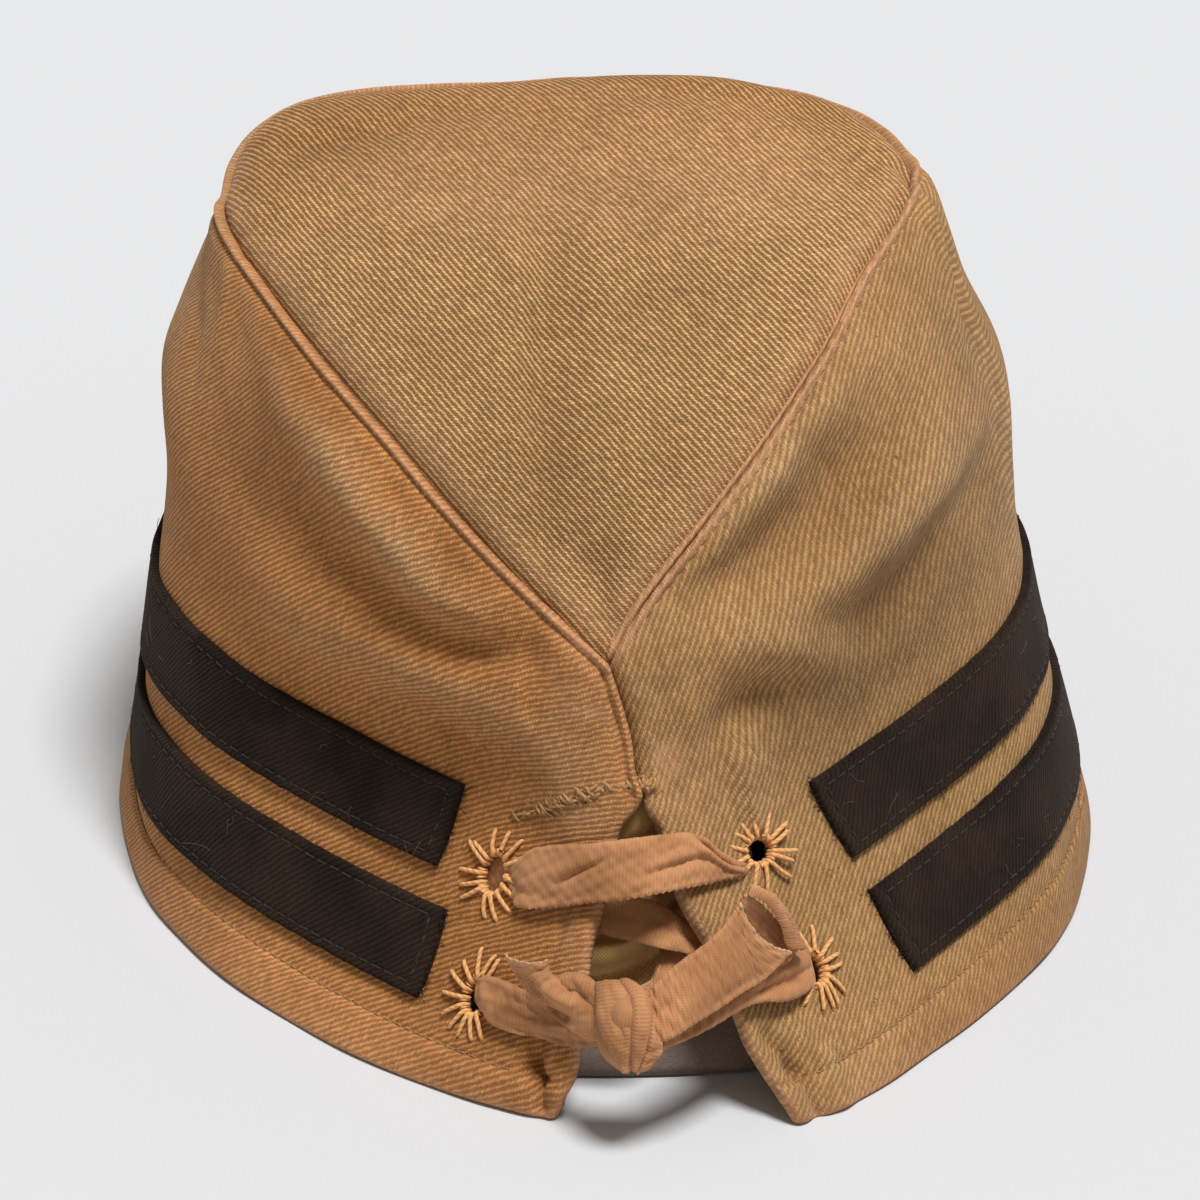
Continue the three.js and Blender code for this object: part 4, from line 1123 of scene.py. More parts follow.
def open_holes(outer, inner, names):
    """Spreads the points round each eyelet into a hole, and returns which faces stay."""
    columns, rows = outer.shape[:2]
    keep = np.ones((columns - 1, rows - 1), bool)
    corners = [np.s_[i : i + columns - 1, j : j + rows - 1] for i in (0, 1) for j in (0, 1)]
    for name in names:
        centre, right, up, out = eyelet_frame(name)
        widen, heighten = (half / EYELET_RADIUS - 1 for half in EYELET_HALVES[name])
        shape = np.eye(3) + widen * np.outer(right, right) + heighten * np.outer(up, up)
        squeeze = np.linalg.inv(shape)
        away = np.linalg.norm((outer - centre) @ squeeze, axis=-1)
        gone = away < HOLE_INSIDE
        here = np.any([gone[corner] for corner in corners], 0)
        keep &= ~here
        brink = np.zeros_like(gone)
        for corner in corners:
            brink[corner] |= here
        near = away < HOLE_REACH
        for grid, middle in ((outer, centre), (inner, centre - out * CLOTH)):
            offset = (grid - middle) @ squeeze
            far = np.linalg.norm(offset, axis=-1)
            spread = mixed((EYELET_RADIUS, HOLE_REACH), (far - HOLE_FROM) / (HOLE_REACH - HOLE_FROM))
            new = np.where(far < HOLE_REACH, np.maximum(spread, EYELET_RADIUS), far)
            new = np.where(brink, EYELET_RADIUS, new)
            grid[near] = (middle + offset * (new / np.maximum(far, 1e-6))[..., None] @ shape)[near]
    return keep


SIGHT_TURN = -7.0  # the back, as it is usually looked at, in degrees round and above
SIGHT_HEIGHT = 28.3
SIGHT_ROUND = 86.0  # the cap's roundness for lengths across it, seen from there
STRAIGHT_UNTIL = (68, 104)  # turns over which the right panel's weave goes over to the flat cloth's
SOIL_AND_SHADE_DEPTH = 9.0  # of a hollow that is fully darkened by soil and painted shade
# Crests of folds are painted paler, partly rubbed and partly a painted highlight
CREST_HEIGHT = 2.6
CREST_START = 0.15
CREST_SHARE = 0.7
SOIL_AND_SHADE_POWER = 1.2


def seen_flat(points):
    """Millimetres to the right and up, as the points are seen from behind."""
    a, e = math.radians(SIGHT_TURN), math.radians(SIGHT_HEIGHT)
    to_right = np.array([math.cos(a), math.sin(a), 0])
    to_top = np.array([-math.sin(a) * math.sin(e), math.cos(a) * math.sin(e), math.cos(e)])
    return np.stack([points @ to_right, points @ to_top], -1)


def straightened(coordinates, turns, points):
    """The right panel's place on the flat cloth, made straight towards the back.

    That panel is cut on the bias, and its ribs hang straight at the back, seen from behind. Further round,
    the flat cloth is turned and moved to fit on to them.
    """
    straight = seen_flat(points)
    straight[..., 0] = SIGHT_ROUND * np.arcsin(np.clip(straight[..., 0] / SIGHT_ROUND, -1, 1))
    first, last = STRAIGHT_UNTIL
    joint = (turns > first) & (turns < last)
    own, other = coordinates[joint], straight[joint]
    u, _, v = np.linalg.svd((own - own.mean(0)).T @ (other - other.mean(0)))
    fitted = (coordinates - own.mean(0)) @ u @ v + other.mean(0)
    part = ease((turns - first) / (last - first))[..., None]
    return straight * (1 - part) + fitted * part


def fold_soil_and_painted_shade(turns, levels):
    """Soil and painted shade in the cloth's hollows, above zero, and below zero its ridges painted paler,
    partly rubbed and partly a painted highlight.
    """
    height = fold_height(plain_place(turns, levels))
    crest = np.clip(height / CREST_HEIGHT - CREST_START, 0, 1)
    return np.clip(-height / SOIL_AND_SHADE_DEPTH, 0, 1) ** SOIL_AND_SHADE_POWER - CREST_SHARE * crest


HEM_PAINTED_SHADE = {"share": 0.5, "height": 11, "turn": 22, "over": 16}  # painted shade above the right panel's hem
RIM_ROUND = [[0, 0.8], [0.3, 0.35], [1.0, 0.05], [2.0, 0]]  # of the inside. Columns: height, lift


def side_panel(side):
    turns, levels = side_grid(side)
    points, normals = cloth_place(turns, levels), cloth_normal(turns, levels)
    plain = plain_place(turns, levels)
    lift, wear = side_relief(side, turns, levels, plain)
    height = height_at(turns, levels)
    outer = points + normals * lift[..., None]
    inner = points + normals * (profile(RIM_ROUND, height) - CLOTH)[..., None]
    keep = open_holes(outer, inner, [f"upper_{side}", f"lower_{side}"])
    coordinates = side_coordinates(side, turns, levels)
    soil_and_painted_shade = fold_soil_and_painted_shade(turns, levels)
    material = twill_left
    if side == "right":
        coordinates = straightened(coordinates, turns, plain)
        # Painted shade above the right panel's hem
        begun = ease((turns - HEM_PAINTED_SHADE["turn"]) / HEM_PAINTED_SHADE["over"])
        soil_and_painted_shade = soil_and_painted_shade + HEM_PAINTED_SHADE["share"] * bell(height, HEM_PAINTED_SHADE["height"]) * begun
        material = twill_right
    piece = Piece()
    thick_sheet(piece, outer, inner, coordinates, wear, keep, inner_look=1, soil_and_painted_shade=soil_and_painted_shade)
    piece.make(f"{side}_side_cloth", [material, lining_cotton], [f"crown_side_{side}"])


RIDGE_Y = -10.0  # forwards of this line the top panel slopes away from the back
RIDGE_LEVEL = 5.9
RIDGE_BLEND = 30
TOP_CLOTH = 1.6
TOP_WORN = {"share": 0.3, "level": 5.6, "over": 0.8}
TOP_RINGS = [-TUCK, -1.6, -0.8, -0.2, 0.3, 0.8, 1.4, 2.1, 3.0, 4.0, 5.2, 6.5, 8.0]
TOP_MIDDLE_RINGS = 56
TOP_PROFILE = [
    [-2.5, -1.4], [-0.4, -1.0], [0.3, -0.55], [1.2, -0.05], [2.5, 0.3], [4.5, 0.35], [8, 0.1], [11, 0],
]  # fmt: skip
CROWN_HOLE = 0.4  # a ring this far from the crown point closes the top


def top_panel():
    left, right = seam_path(SEAM_LEFT, 1.25), seam_path(SEAM_RIGHT, 1.25)
    seam_turns = np.concatenate([right[0][:-1], left[0][:-1] + 360])
    seam_levels = np.concatenate([right[1][:-1], left[1][:-1]])
    fine = np.linspace(-0.25, 1, 300)
    levels = seam_levels[:, None] + (TOP_LEVEL - seam_levels)[:, None] * fine
    ring_levels = []
    for length, column in zip(run_length(plain_place(seam_turns[:, None], levels), 1), levels):
        start = np.interp(0, fine, length)
        middle = np.linspace(TOP_RINGS[-1], length[-1] - start - CROWN_HOLE, TOP_MIDDLE_RINGS + 1)[1:]
        ring_levels.append(np.interp(start + np.concatenate([TOP_RINGS, middle]), length, column))
    levels = np.array(ring_levels)
    turns = np.broadcast_to(seam_turns[:, None], levels.shape)
    plain = plain_place(turns, levels)
    seam_line = plain_place(np.append(seam_turns, seam_turns[0]), np.append(seam_levels, seam_levels[0]))
    from_seam = distance_to(plain, seam_line[::2])
    from_seam = np.where(levels < seam_levels[:, None], -from_seam, from_seam)
    lift = profile(TOP_PROFILE, from_seam)
    points, normals = cloth_place(turns, levels), cloth_normal(turns, levels)
    outer = points + normals * lift[..., None]
    inner = points + normals * (np.minimum(lift, 0) - TOP_CLOTH)[..., None]
    ridge = plain_place(np.linspace(-90, 90, 181), RIDGE_LEVEL)
    above = np.interp(plain[..., 0], ridge[:, 0], ridge[:, 2]) - plain[..., 2]
    held = plain.copy()
    held[..., 2] += np.clip((plain[..., 1] - RIDGE_Y) / RIDGE_BLEND, 0, 1) * np.maximum(above, 0)
    worn_top = TOP_WORN["share"] * ease((levels - TOP_WORN["level"]) / TOP_WORN["over"])
    wear = edge_wear("top", from_seam) + worn_top
    piece = Piece()
    soil_and_painted_shade = fold_soil_and_painted_shade(turns, levels)
    thick_sheet(piece, outer, inner, seen_flat(held), wear, loop=True, inner_look=1, soil_and_painted_shade=soil_and_painted_shade)
    columns, rows = levels.shape
    piece.faces.append(tuple(range(rows - 1, columns * rows, rows)))  # the lid over the crown point
    piece.looks.append([0])
    piece.make("top_cloth", [twill_top, lining_cotton], ["crown_top_panel"])


side_panel("left")
side_panel("right")
top_panel()

# Seam stitches

seam_stitches = Piece()
needle_hole_shadows = Piece()
SEAM_STITCH_OFF = 1.35  # from the lapped edge to the stitch line
SEAM_STITCH = {"pitch": 2.7, "radius": 0.27, "sunk": 0.5, "hole_size": 0.5}
BACK_STITCH = {"pitch": 2.4, "radius": 0.24, "sunk": 0.5, "hole_size": 0.5}
HEM_STITCH = {"pitch": 2.1, "radius": 0.15, "sunk": 0.6, "hole_size": 0.22}
SEAM_SKIP = {"left": 0, "right": 3}  # millimetres that the stitches leave out at the point of the top panel
HEM_START = 1.6  # degrees from the slit's edge to the first hem stitch

for side, skip in SEAM_SKIP.items():
    path_turns, path_levels = beside(*seam_path(SEAMS[side]), -SEAM_STITCH_OFF)
    stitches(seam_stitches, needle_hole_shadows, path_turns[skip:], path_levels[skip:], 0.12, **SEAM_STITCH)

for side, way in WAYS.items():
    start = float(smooth(BACK_EDGES, 0.5, EDGE_COLUMNS[side])) + way * HEM_START
    hem_turns = np.linspace(start, way * 180, 400)
    stitches(seam_stitches, needle_hole_shadows, hem_turns, level_at(hem_turns, HEM), -0.1, **HEM_STITCH)

back_levels = np.linspace(2.6, POINT[1] + 0.02, 24)
back_turns, back_levels = beside(smooth(BACK_EDGES, back_levels, 1), back_levels, SEAM_STITCH_OFF)
stitches(seam_stitches, needle_hole_shadows, back_turns, back_levels, 0.1, **BACK_STITCH)

# The sewn bar above the slit, with its loose threads, and the short row of stitches that comes down to it.
# Columns: turn, level.
BAR = [
    [-25, 1.9], [-21.5, 1.99], [-18, 2.08], [-15, 2.15], [-12, 2.21],
    [-9, 2.25], [-5, 2.28], [-1, 2.29], [4, 2.28],
]  # fmt: skip
TOPSTITCH = [[-7.4, 2.6], [-7.8, 2.52], [-8.4, 2.44], [-9.3, 2.36], [-10.2, 2.28]]
BAR_HOLES = [[-9.2, 2.25, 0.55], [-5.2, 2.27, 0.6], [-13.5, 2.15, 0.35], [-20.5, 2.0, 0.3]]  # dark discs of painted shade for holes, with their size
BAR_LOOPS = 46
BAR_THICKER_FROM = 3.5  # the row of BAR from which its threads are thicker
BAR_FIBRES = 44

bar_stitches = Piece()
loop = np.arange(BAR_LOOPS)
share = np.clip((loop + rng.uniform(-0.3, 0.3, BAR_LOOPS)) / (BAR_LOOPS - 1), 0, 1) * (len(BAR) - 1)
thicker = share > BAR_THICKER_FROM
reach = np.where(thicker, rng.uniform(0.035, 0.07, BAR_LOOPS), rng.uniform(0.02, 0.05, BAR_LOOPS))
lean = rng.normal(size=BAR_LOOPS) * 1.1 + np.where(loop % 2, 1.4, -1.4)
along = np.linspace(-0.5, 0.5, 6)
turns, levels = along_rows(BAR, share)
turns = turns[:, None] + lean[:, None] * along
levels = (levels + rng.normal(size=BAR_LOOPS) * 0.008)[:, None] + reach[:, None] * along
lifts = np.array([-0.35, 0.1, 0.3, 0.3, 0.1, -0.35]) + rng.uniform(0, 0.2, (BAR_LOOPS, 1))
for line, thick in zip(lifted(turns, levels, lifts), np.where(thicker, 0.36, 0.26)):
    tube(bar_stitches, line, thick * rng.uniform(0.75, 1.1))
turns, levels = along_rows(BAR, rng.uniform(0, len(BAR) - 1, BAR_FIBRES))
turns = turns + rng.normal(size=BAR_FIBRES) * 0.8
levels = levels + rng.normal(size=BAR_FIBRES) * 0.02
fibres(bar_stitches, turns, levels, rng.uniform(0.8, 1.8, BAR_FIBRES), 0.06, 0.35, 1.3)
top_turns, top_levels = along_rows(TOPSTITCH, np.linspace(0, len(TOPSTITCH) - 1, 30))
stitches(bar_stitches, needle_hole_shadows, top_turns, top_levels, 0.1, 1.7, 0.24)
hole_turns, hole_levels, hole_sizes = np.array(BAR_HOLES).T
hole_places, hole_normals = lifted(hole_turns, hole_levels, 0.35), cloth_normal(hole_turns, hole_levels)
for place, normal, size in zip(hole_places, hole_normals, hole_sizes):
    needle_hole(needle_hole_shadows, place, normal, size)
bar_stitches.make("bar_stitches", [bar_thread])


# Stripes

STRIPE_THICK = 1.0
STRIPE_LIFT = 0.25
STRIPE_OUT = STRIPE_LIFT + STRIPE_THICK
STRIPE_LENGTH = 430.0
STRIPE_INSET = 1.75  # from its edges to its stitches
STRIPE_PROFILE = [
    [0, -0.55], [0.12, -0.25], [0.35, 0.0], [0.8, 0.12], [1.4, 0.02], [1.75, -0.14], [2.1, 0.02], [3, 0.05],
]  # fmt: skip
STRIPE_ROWS = [0, 0.12, 0.3, 0.6, 1.0, 1.45, 1.75, 2.05, 2.6, 3.4, 4.6, 6, 7.5]
STRIPE_STEP = 1.1


def stripe(name, low, high, right, left):
    """Makes a stripe, and returns the paths of its stitches."""
    width = high - low
    rows = np.array(STRIPE_ROWS + [width - v for v in STRIPE_ROWS[-2::-1]]) / width
    ends = np.array(STRIPE_ROWS[:-2])
    middle = np.arange(7, STRIPE_LENGTH - 6.5, STRIPE_STEP)
    columns = np.concatenate([ends, middle, STRIPE_LENGTH - ends[::-1]]) / STRIPE_LENGTH
    up = rows[None, :]
    turns = mixed((mixed(right, up), mixed(left, up)), columns[:, None])
    levels = level_at(turns, low + width * up)
    from_ends = np.minimum(columns, 1 - columns)[:, None] * STRIPE_LENGTH
    from_edge = np.minimum(np.minimum(rows, 1 - rows) * width, from_ends)
    outer = lifted(turns, levels, profile(STRIPE_PROFILE, from_edge) + STRIPE_LIFT + STRIPE_THICK)
    inner = lifted(turns, levels, STRIPE_LIFT - 0.3)
    coordinates = np.stack(np.broadcast_arrays(columns[:, None] * STRIPE_LENGTH, up * width), -1)
    piece = Piece()
    thick_sheet(piece, outer, inner, coordinates)
    piece.make(f"{name}_cloth", [dark_wool], [name])
    inset, inset_up = STRIPE_INSET / STRIPE_LENGTH, STRIPE_INSET / width
    along, upward = np.linspace(inset, 1 - inset, 500), np.linspace(inset_up, 1 - inset_up, 20)
    paths = []
    for share, h in ((along, inset_up), (along, 1 - inset_up), (inset, upward), (1 - inset, upward)):
        t = mixed((mixed(right, h), mixed(left, h)), share)
        paths.append((t, level_at(t, low + width * h)))
    return paths


stripe_stitches = Piece()
stripe_hole_shadows = Piece()
for stripe_name, measures in STRIPES.items():
    for path_turns, path_levels in stripe(stripe_name, **measures):
        stitches(stripe_stitches, stripe_hole_shadows, path_turns, path_levels, STRIPE_OUT - 0.1, 2.6, 0.17)

stripe_stitches.make("stripe_stitches", [wool_thread])

# Loose wool fibres at the stripes' cut ends and edges, and pale lint on them
END_FIBRES = 46
EDGE_FIBRES = 260
LINT_FIBRES = 24
stripe_fibres = Piece()
stripe_lint = Piece()


def either(k, one, other):
    """A random value for each k: in the second range where k is even, and else in the first."""
    return np.where(k % 2, rng.uniform(*one, len(k)), rng.uniform(*other, len(k)))


for measures in STRIPES.values():
    low, high = measures["low"], measures["high"]
    for end, way in ((measures["right"], 1), (measures["left"], -1)):
        share = rng.uniform(0, 1, END_FIBRES)
        turns = mixed(end, share) + way * rng.uniform(-0.25, 0.25, END_FIBRES)
        levels = level_at(turns, mixed((low, high), share))
        lengths = rng.uniform(0.6, 1.6, END_FIBRES)
        fibres(stripe_fibres, turns, levels, lengths, 0.07, rng.uniform(0.2, 1.1, END_FIBRES))
    k = np.arange(EDGE_FIBRES)
    turns = either(k, (32, 120), (240, 328))
    levels = level_at(turns, np.where(k % 4 < 2, low, high) + rng.normal(size=EDGE_FIBRES) * 0.15)
    lengths = rng.uniform(0.4, 1.0, EDGE_FIBRES)
    fibres(stripe_fibres, turns, levels, lengths, 0.05, rng.uniform(0.6, 1.2, EDGE_FIBRES))
    turns = either(np.arange(LINT_FIBRES), (34, 100), (260, 326))
    levels = level_at(turns, rng.uniform(low + 1, high - 1, LINT_FIBRES))
    fibres(stripe_lint, turns, levels, rng.uniform(0.8, 4.0, LINT_FIBRES), 0.035, STRIPE_OUT + 0.05, 0.9)
stripe_fibres.make("stripe_fibres", [dark_wool])
stripe_lint.make("stripe_lint", [lint_fibre])
stripe_hole_shadows.make("stripe_hole_shadows", [needle_shadow])


# Eyelets

STITCHES_ROUND = 14
# A stitch. Columns: distance out from the hole, lift. STITCH_END's distances are shares of its reach.
STITCH_START = [[-0.3, -1.1], [-0.2, -0.3], [0.05, 0.3], [0.5, 0.62]]
STITCH_END = [[0.55, 0.55], [0.85, 0.45], [1.0, 0.25]]
STITCH_TIP = -0.3
RIM_THREAD = [[-0.25, -0.9], [-0.15, 0.0], [0.15, 0.35], [0.5, 0.2], [0.7, -0.2]]

STITCH_THICK = [[0, 0.8], [0.2, 1.1], [0.35, 1.05], [0.85, 0.95], [1, 0.6]]


def round_hole(hole, stations, angle, lean=0.0):
    """A line that leaves an eyelet's hole at an angle. Columns of its stations: distance out, lift."""
    (middle, to_right, to_top, to_out), (half_width, half_height) = hole
    away, lift = np.array(stations).T[..., None]
    across = np.cos(angle + lean * away) * (half_width + away)
    upward = np.sin(angle + lean * away) * (half_height + away)
    return middle + to_right * across + to_top * upward + to_out * lift


eyelet_stitches = Piece()
for eyelet_name, halves in EYELET_HALVES.items():
    hole = eyelet_frame(eyelet_name), halves
    for k in range(STITCHES_ROUND):
        angle = 2 * math.pi * (k + 0.3) / STITCHES_ROUND + rng.normal() * 0.06
        lean = rng.normal() * 0.025
        reach = 3.9 + rng.uniform(-0.6, 0.6)
        ending = [[share * reach, lift] for share, lift in STITCH_END]
        line = round_hole(hole, [*STITCH_START, *ending, [reach + 0.2, STITCH_TIP]], angle, lean)
        even, share = resampled(line, 0.3)
        tube(eyelet_stitches, even, 0.35 * profile(STITCH_THICK, share), 7)
    for k in range(STITCHES_ROUND * 2):
        angle = math.pi * k / STITCHES_ROUND + rng.normal() * 0.05
        tube(eyelet_stitches, round_hole(hole, RIM_THREAD, angle), 0.24, 5)
eyelet_stitches.make("eyelet_stitches", [eyelet_thread])


# Tape. Each run has rows of one edge's turn, level and lift, then the other edge's.

RUN_ONE = [
    [-30.4, 1.70, -2.4, -30.4, 1.47, -2.4],
    [-28.2, 1.71, -1.7, -28.3, 1.49, -1.7],
    [-25.4, 1.72, 0.2, -26.4, 1.56, 0.2],
    [-22.5, 1.80, 1.3, -25.6, 1.51, 1.2],
    [-18.4, 1.88, 1.7, -21.3, 1.56, 1.7],
    [-13.5, 1.94, 2.0, -15.8, 1.64, 2.0],
    [-7.4, 2.00, 2.2, -9.5, 1.70, 2.2],
    [2.2, 2.03, 2.2, -0.2, 1.75, 2.2],
    [10.2, 2.00, 2.1, 9.7, 1.74, 2.0],
    [13.6, 1.94, 1.8, 14.1, 1.72, 1.6],
    [16.7, 1.84, 1.2, 17.6, 1.70, 1.1],
    [19.9, 1.75, 0.2, 21.0, 1.68, 0.3],
    [23.5, 1.70, -3.0, 24.0, 1.68, -3.0],
]
LOWER_LEFT = [
    [-31.5, 1.06, -3.0, -31.1, 0.96, -3.0],
    [-29.4, 1.14, 0.8, -28.9, 0.94, 0.8],
    [-27.6, 1.16, 1.6, -27.5, 0.88, 1.5],
    [-25.4, 1.16, 2.2, -24.8, 0.87, 1.8],
    [-22.7, 1.15, 2.8, -21.7, 0.89, 2.2],
    [-19.4, 1.16, 3.2, -18.8, 0.91, 2.6],
    [-14.9, 1.18, 4.0, -15.1, 0.97, 3.4],
    [-12.7, 1.18, 4.5, -12.8, 1.02, 4.2],
]
LOWER_RIGHT = [
    [28.5, 1.20, -3.0, 28.2, 1.10, -3.0],
    [26.3, 1.28, 1.0, 25.9, 1.09, 0.8],
    [24.9, 1.30, 1.8, 23.3, 1.08, 1.8],
    [22.6, 1.31, 2.6, 20.6, 1.10, 2.4],
    [19.8, 1.31, 3.0, 17.9, 1.14, 2.8],
    [15.5, 1.30, 3.4, 15.1, 1.15, 2.8],
    [8.2, 1.26, 3.6, 6.8, 1.11, 3.0],
    [-2.5, 1.20, 4.0, -4.3, 1.04, 3.4],
]
STUB = [
    [-13.0, 1.24, 5.5, -13.1, 1.02, 5.0],
    [-15.7, 1.27, 5.5, -16.4, 1.02, 4.5],
    [-18.3, 1.27, 6.0, -19.6, 1.05, 4.0],
    [-19.2, 1.29, 6.8, -21.9, 1.11, 4.4],
    [-19.2, 1.32, 7.6, -23.4, 1.19, 5.6],
    [-19.0, 1.345, 8.3, -24.5, 1.30, 8.0],
]
LOBE = [
    [-20.3, 1.23, 4.5, -19.8, 1.20, 3.4],
    [-18.8, 1.29, 5.4, -18.1, 1.19, 4.0],
    [-16.6, 1.33, 5.9, -16.3, 1.19, 4.5],
    [-14.4, 1.33, 5.9, -14.7, 1.18, 5.0],
    [-13.1, 1.29, 5.5, -13.4, 1.17, 5.0],
]
TAIL = [
    [-6.0, 1.30, 6.2, -5.5, 1.07, 6.0],
    [-2.4, 1.37, 6.6, -0.6, 1.12, 6.2],
    [0.8, 1.44, 7.0, 3.2, 1.17, 6.2],
    [6.4, 1.49, 7.4, 8.3, 1.20, 6.0],
    [10.5, 1.54, 7.8, 13.1, 1.23, 6.0],
    [12.9, 1.59, 8.1, 17.4, 1.25, 6.0],
    [13.6, 1.61, 8.4, 21.4, 1.30, 6.5],
]
TAIL_BACK = [
    [12.2, 1.48, 5.5, 18.4, 1.25, 4.2],
    [14.0, 1.57, 7.0, 21.5, 1.26, 4.6],
    [14.6, 1.63, 8.6, 22.5, 1.29, 6.0],
]
TAIL_LOBE = [
    [15.1, 1.64, 9.3, 15.5, 1.64, 8.6],
    [17.5, 1.58, 9.4, 18.9, 1.58, 8.4],
    [19.2, 1.50, 9.0, 21.3, 1.48, 7.4],
    [20.2, 1.42, 8.2, 23.0, 1.39, 6.0],
    [21.2, 1.32, 6.8, 24.4, 1.28, 4.2],
]
WRAP_ONE = [
    [-14.2, 1.30, 5.0, -8.9, 1.35, 6.3],
    [-14.2, 1.21, 5.5, -7.4, 1.29, 8.2],
    [-13.4, 1.10, 6.0, -7.7, 1.15, 8.8],
    [-11.7, 1.02, 6.0, -8.1, 1.05, 8.0],
    [-9.8, 0.93, 5.5, -8.4, 0.93, 6.0],
]
WRAP_TWO = [
    [-10.6, 1.34, 6.0, -6.5, 1.35, 6.0],
    [-7.6, 1.30, 8.3, -4.8, 1.30, 7.0],
    [-7.2, 1.20, 9.2, -4.7, 1.21, 7.5],
    [-7.9, 1.08, 8.6, -5.8, 1.09, 7.2],
    [-8.6, 0.95, 6.5, -7.7, 0.94, 6.0],
]
WRAP_THREE = [
    [-6.5, 1.34, 5.5, -5.1, 1.31, 4.5],
    [-5.5, 1.24, 6.4, -4.1, 1.21, 5.0],
    [-5.6, 1.14, 6.8, -3.5, 1.11, 5.2],
    [-6.5, 1.04, 6.6, -3.8, 1.03, 5.0],
    [-8.4, 0.93, 5.8, -7.9, 0.91, 5.4],
]
INNER_ONE = [
    [-28.6, 1.63, -3.6, -28.7, 1.56, -3.6],
    [-23.0, 1.68, -3.6, -23.5, 1.54, -3.6],
    [-16.7, 1.65, -3.6, -17.0, 1.52, -3.4],
    [-13.3, 1.69, -4.5, -14.3, 1.52, -4.5],
    [-6.7, 1.73, -5.0, -10.7, 1.53, -5.0],
    [10.6, 1.67, -5.0, -0.7, 1.54, -5.0],
    [16.6, 1.51, -4.5, 13.0, 1.45, -4.5],
    [22.0, 1.35, -3.8, 20.5, 1.22, -3.8],
    [27.5, 1.20, -3.6, 27.3, 1.12, -3.6],
]
INNER_TWO = [
    [24.5, 1.75, -4.2, 24.3, 1.68, -4.2],
    [19.0, 1.66, -5.2, 18.0, 1.52, -5.2],
    [10.0, 1.54, -7.5, 8.0, 1.38, -7.5],
    [-10.0, 1.36, -7.5, -12.0, 1.22, -7.5],
    [-20.0, 1.20, -5.2, -21.0, 1.08, -5.2],
    [-29.8, 1.04, -4.2, -30.2, 0.95, -4.2],
]
TAPE_THICK = 0.5
CAP_MIDDLE = np.array([-4.0, 0.0, 30.0])
TAPE_RIPPLES = 7  # faint waves in each run
TAPE_RIPPLE_HEIGHT = 0.045
TAPE_RIB = 1.05  # from notch to notch
SELVEDGE_AT, SELVEDGE_WIDTH, SELVEDGE_HEIGHT = 0.5, 0.3, 0.1
WORN_END = 0.97  # the share of a cut end's run at which it begins to be worn


def facing(points):
    """The way out of a strip of tape at each of its points, away from the middle of the cap."""
    out = unit(np.cross(np.gradient(points, axis=1), np.gradient(points, axis=0)))
    turned = np.sign((out * (points - CAP_MIDDLE)).sum(-1).mean())
    return out * (turned or 1.0)


def ribbon(piece, table, arch, creases, columns, rows, dip=0.0, ribs=0.0, edge_drop=0.0):
    """A strip of tape between two edges. Returns the grid of its middle.

    arch is how far its middle stands out. Creases have rows of two places, a width and a height; a place is
    a share of the strip's length and of its width. dip moves the middle of its last end back. ribs is the
    depth of the notches along its second edge, and edge_drop turns both of its edges down.
    """
    stations = np.asarray(table, float)
    sides = [lifted(*stations[:, k : k + 3].T) for k in (0, 3)]
    length = run_length((sides[0] + sides[1]) / 2)
    share = np.linspace(0, 1, columns)
    wanted = share * length[-1]
    edges = []
    for side in sides:
        edge = np.column_stack([length, side])
        edges.append(np.stack([smooth(edge, wanted, k) for k in (1, 2, 3)], -1))
    across = np.linspace(0, 1, rows)
    across = 0.5 - 0.5 * np.cos(np.pi * across) * (0.35 + 0.65 * np.abs(np.cos(np.pi * across)) ** 0.3)
    grid = edges[0][:, None] * (1 - across)[:, None] + edges[1][:, None] * across[:, None]
    from_middle = np.abs(2 * across - 1)
    bow = 1 - from_middle**2
    height = np.broadcast_to(arch * bow - edge_drop * from_middle**6, (columns, rows))
    width = np.linalg.norm(edges[1] - edges[0], axis=1)
    flat = np.stack(np.broadcast_arrays(wanted[:, None], across * width[:, None]), -1)
    size = np.array([length[-1], np.median(width)])
    place = np.stack(np.broadcast_arrays(wanted[:, None], across * size[1]), -1)
    for *ends, wide, tall in creases:
        start, end = np.array(ends).reshape(2, 2) * size
        way = end - start
        t = np.clip(((place - start) @ way) / (way @ way), 0, 1)
        away = np.linalg.norm(place - start - t[..., None] * way, axis=-1)
        height = height + tall * bell(away, wide) * np.sin(np.pi * np.clip(0.12 + 0.76 * t, 0, 1))
    for _ in range(TAPE_RIPPLES):
        way = rng.normal(size=2)
        height = height + TAPE_RIPPLE_HEIGHT * np.sin(flat @ (way * 2.2) + rng.uniform(0, 6.28))
    from_sides = (flat[..., 1], width[:, None] - flat[..., 1])
    selvedge = sum(bell(from_side - SELVEDGE_AT, SELVEDGE_WIDTH) for from_side in from_sides)
    grid = grid + facing(grid) * (height + SELVEDGE_HEIGHT * selvedge)[..., None]
    if dip:
        back = unit(edges[0][-1] - edges[0][-4] + edges[1][-1] - edges[1][-4])
        pull = ease((share - 0.7) / 0.3)[:, None] * bow
        grid = grid - back * (dip * pull)[..., None]
    if ribs:
        notch = ribs * np.sin(wanted * 2 * np.pi / TAPE_RIB)[:, None] * (across > 0.985)
        grid = grid + unit(np.gradient(grid, axis=1)) * notch[..., None]
    half = facing(grid) * TAPE_THICK * (1 - 0.45 * from_middle**8)[:, None] / 2
    end_wear = 0.7 * (share > WORN_END)[:, None] * (dip != 0)
    thick_sheet(piece, grid + half, grid - half, flat, np.clip(0.25 * selvedge + end_wear, 0, 1))
    return grid


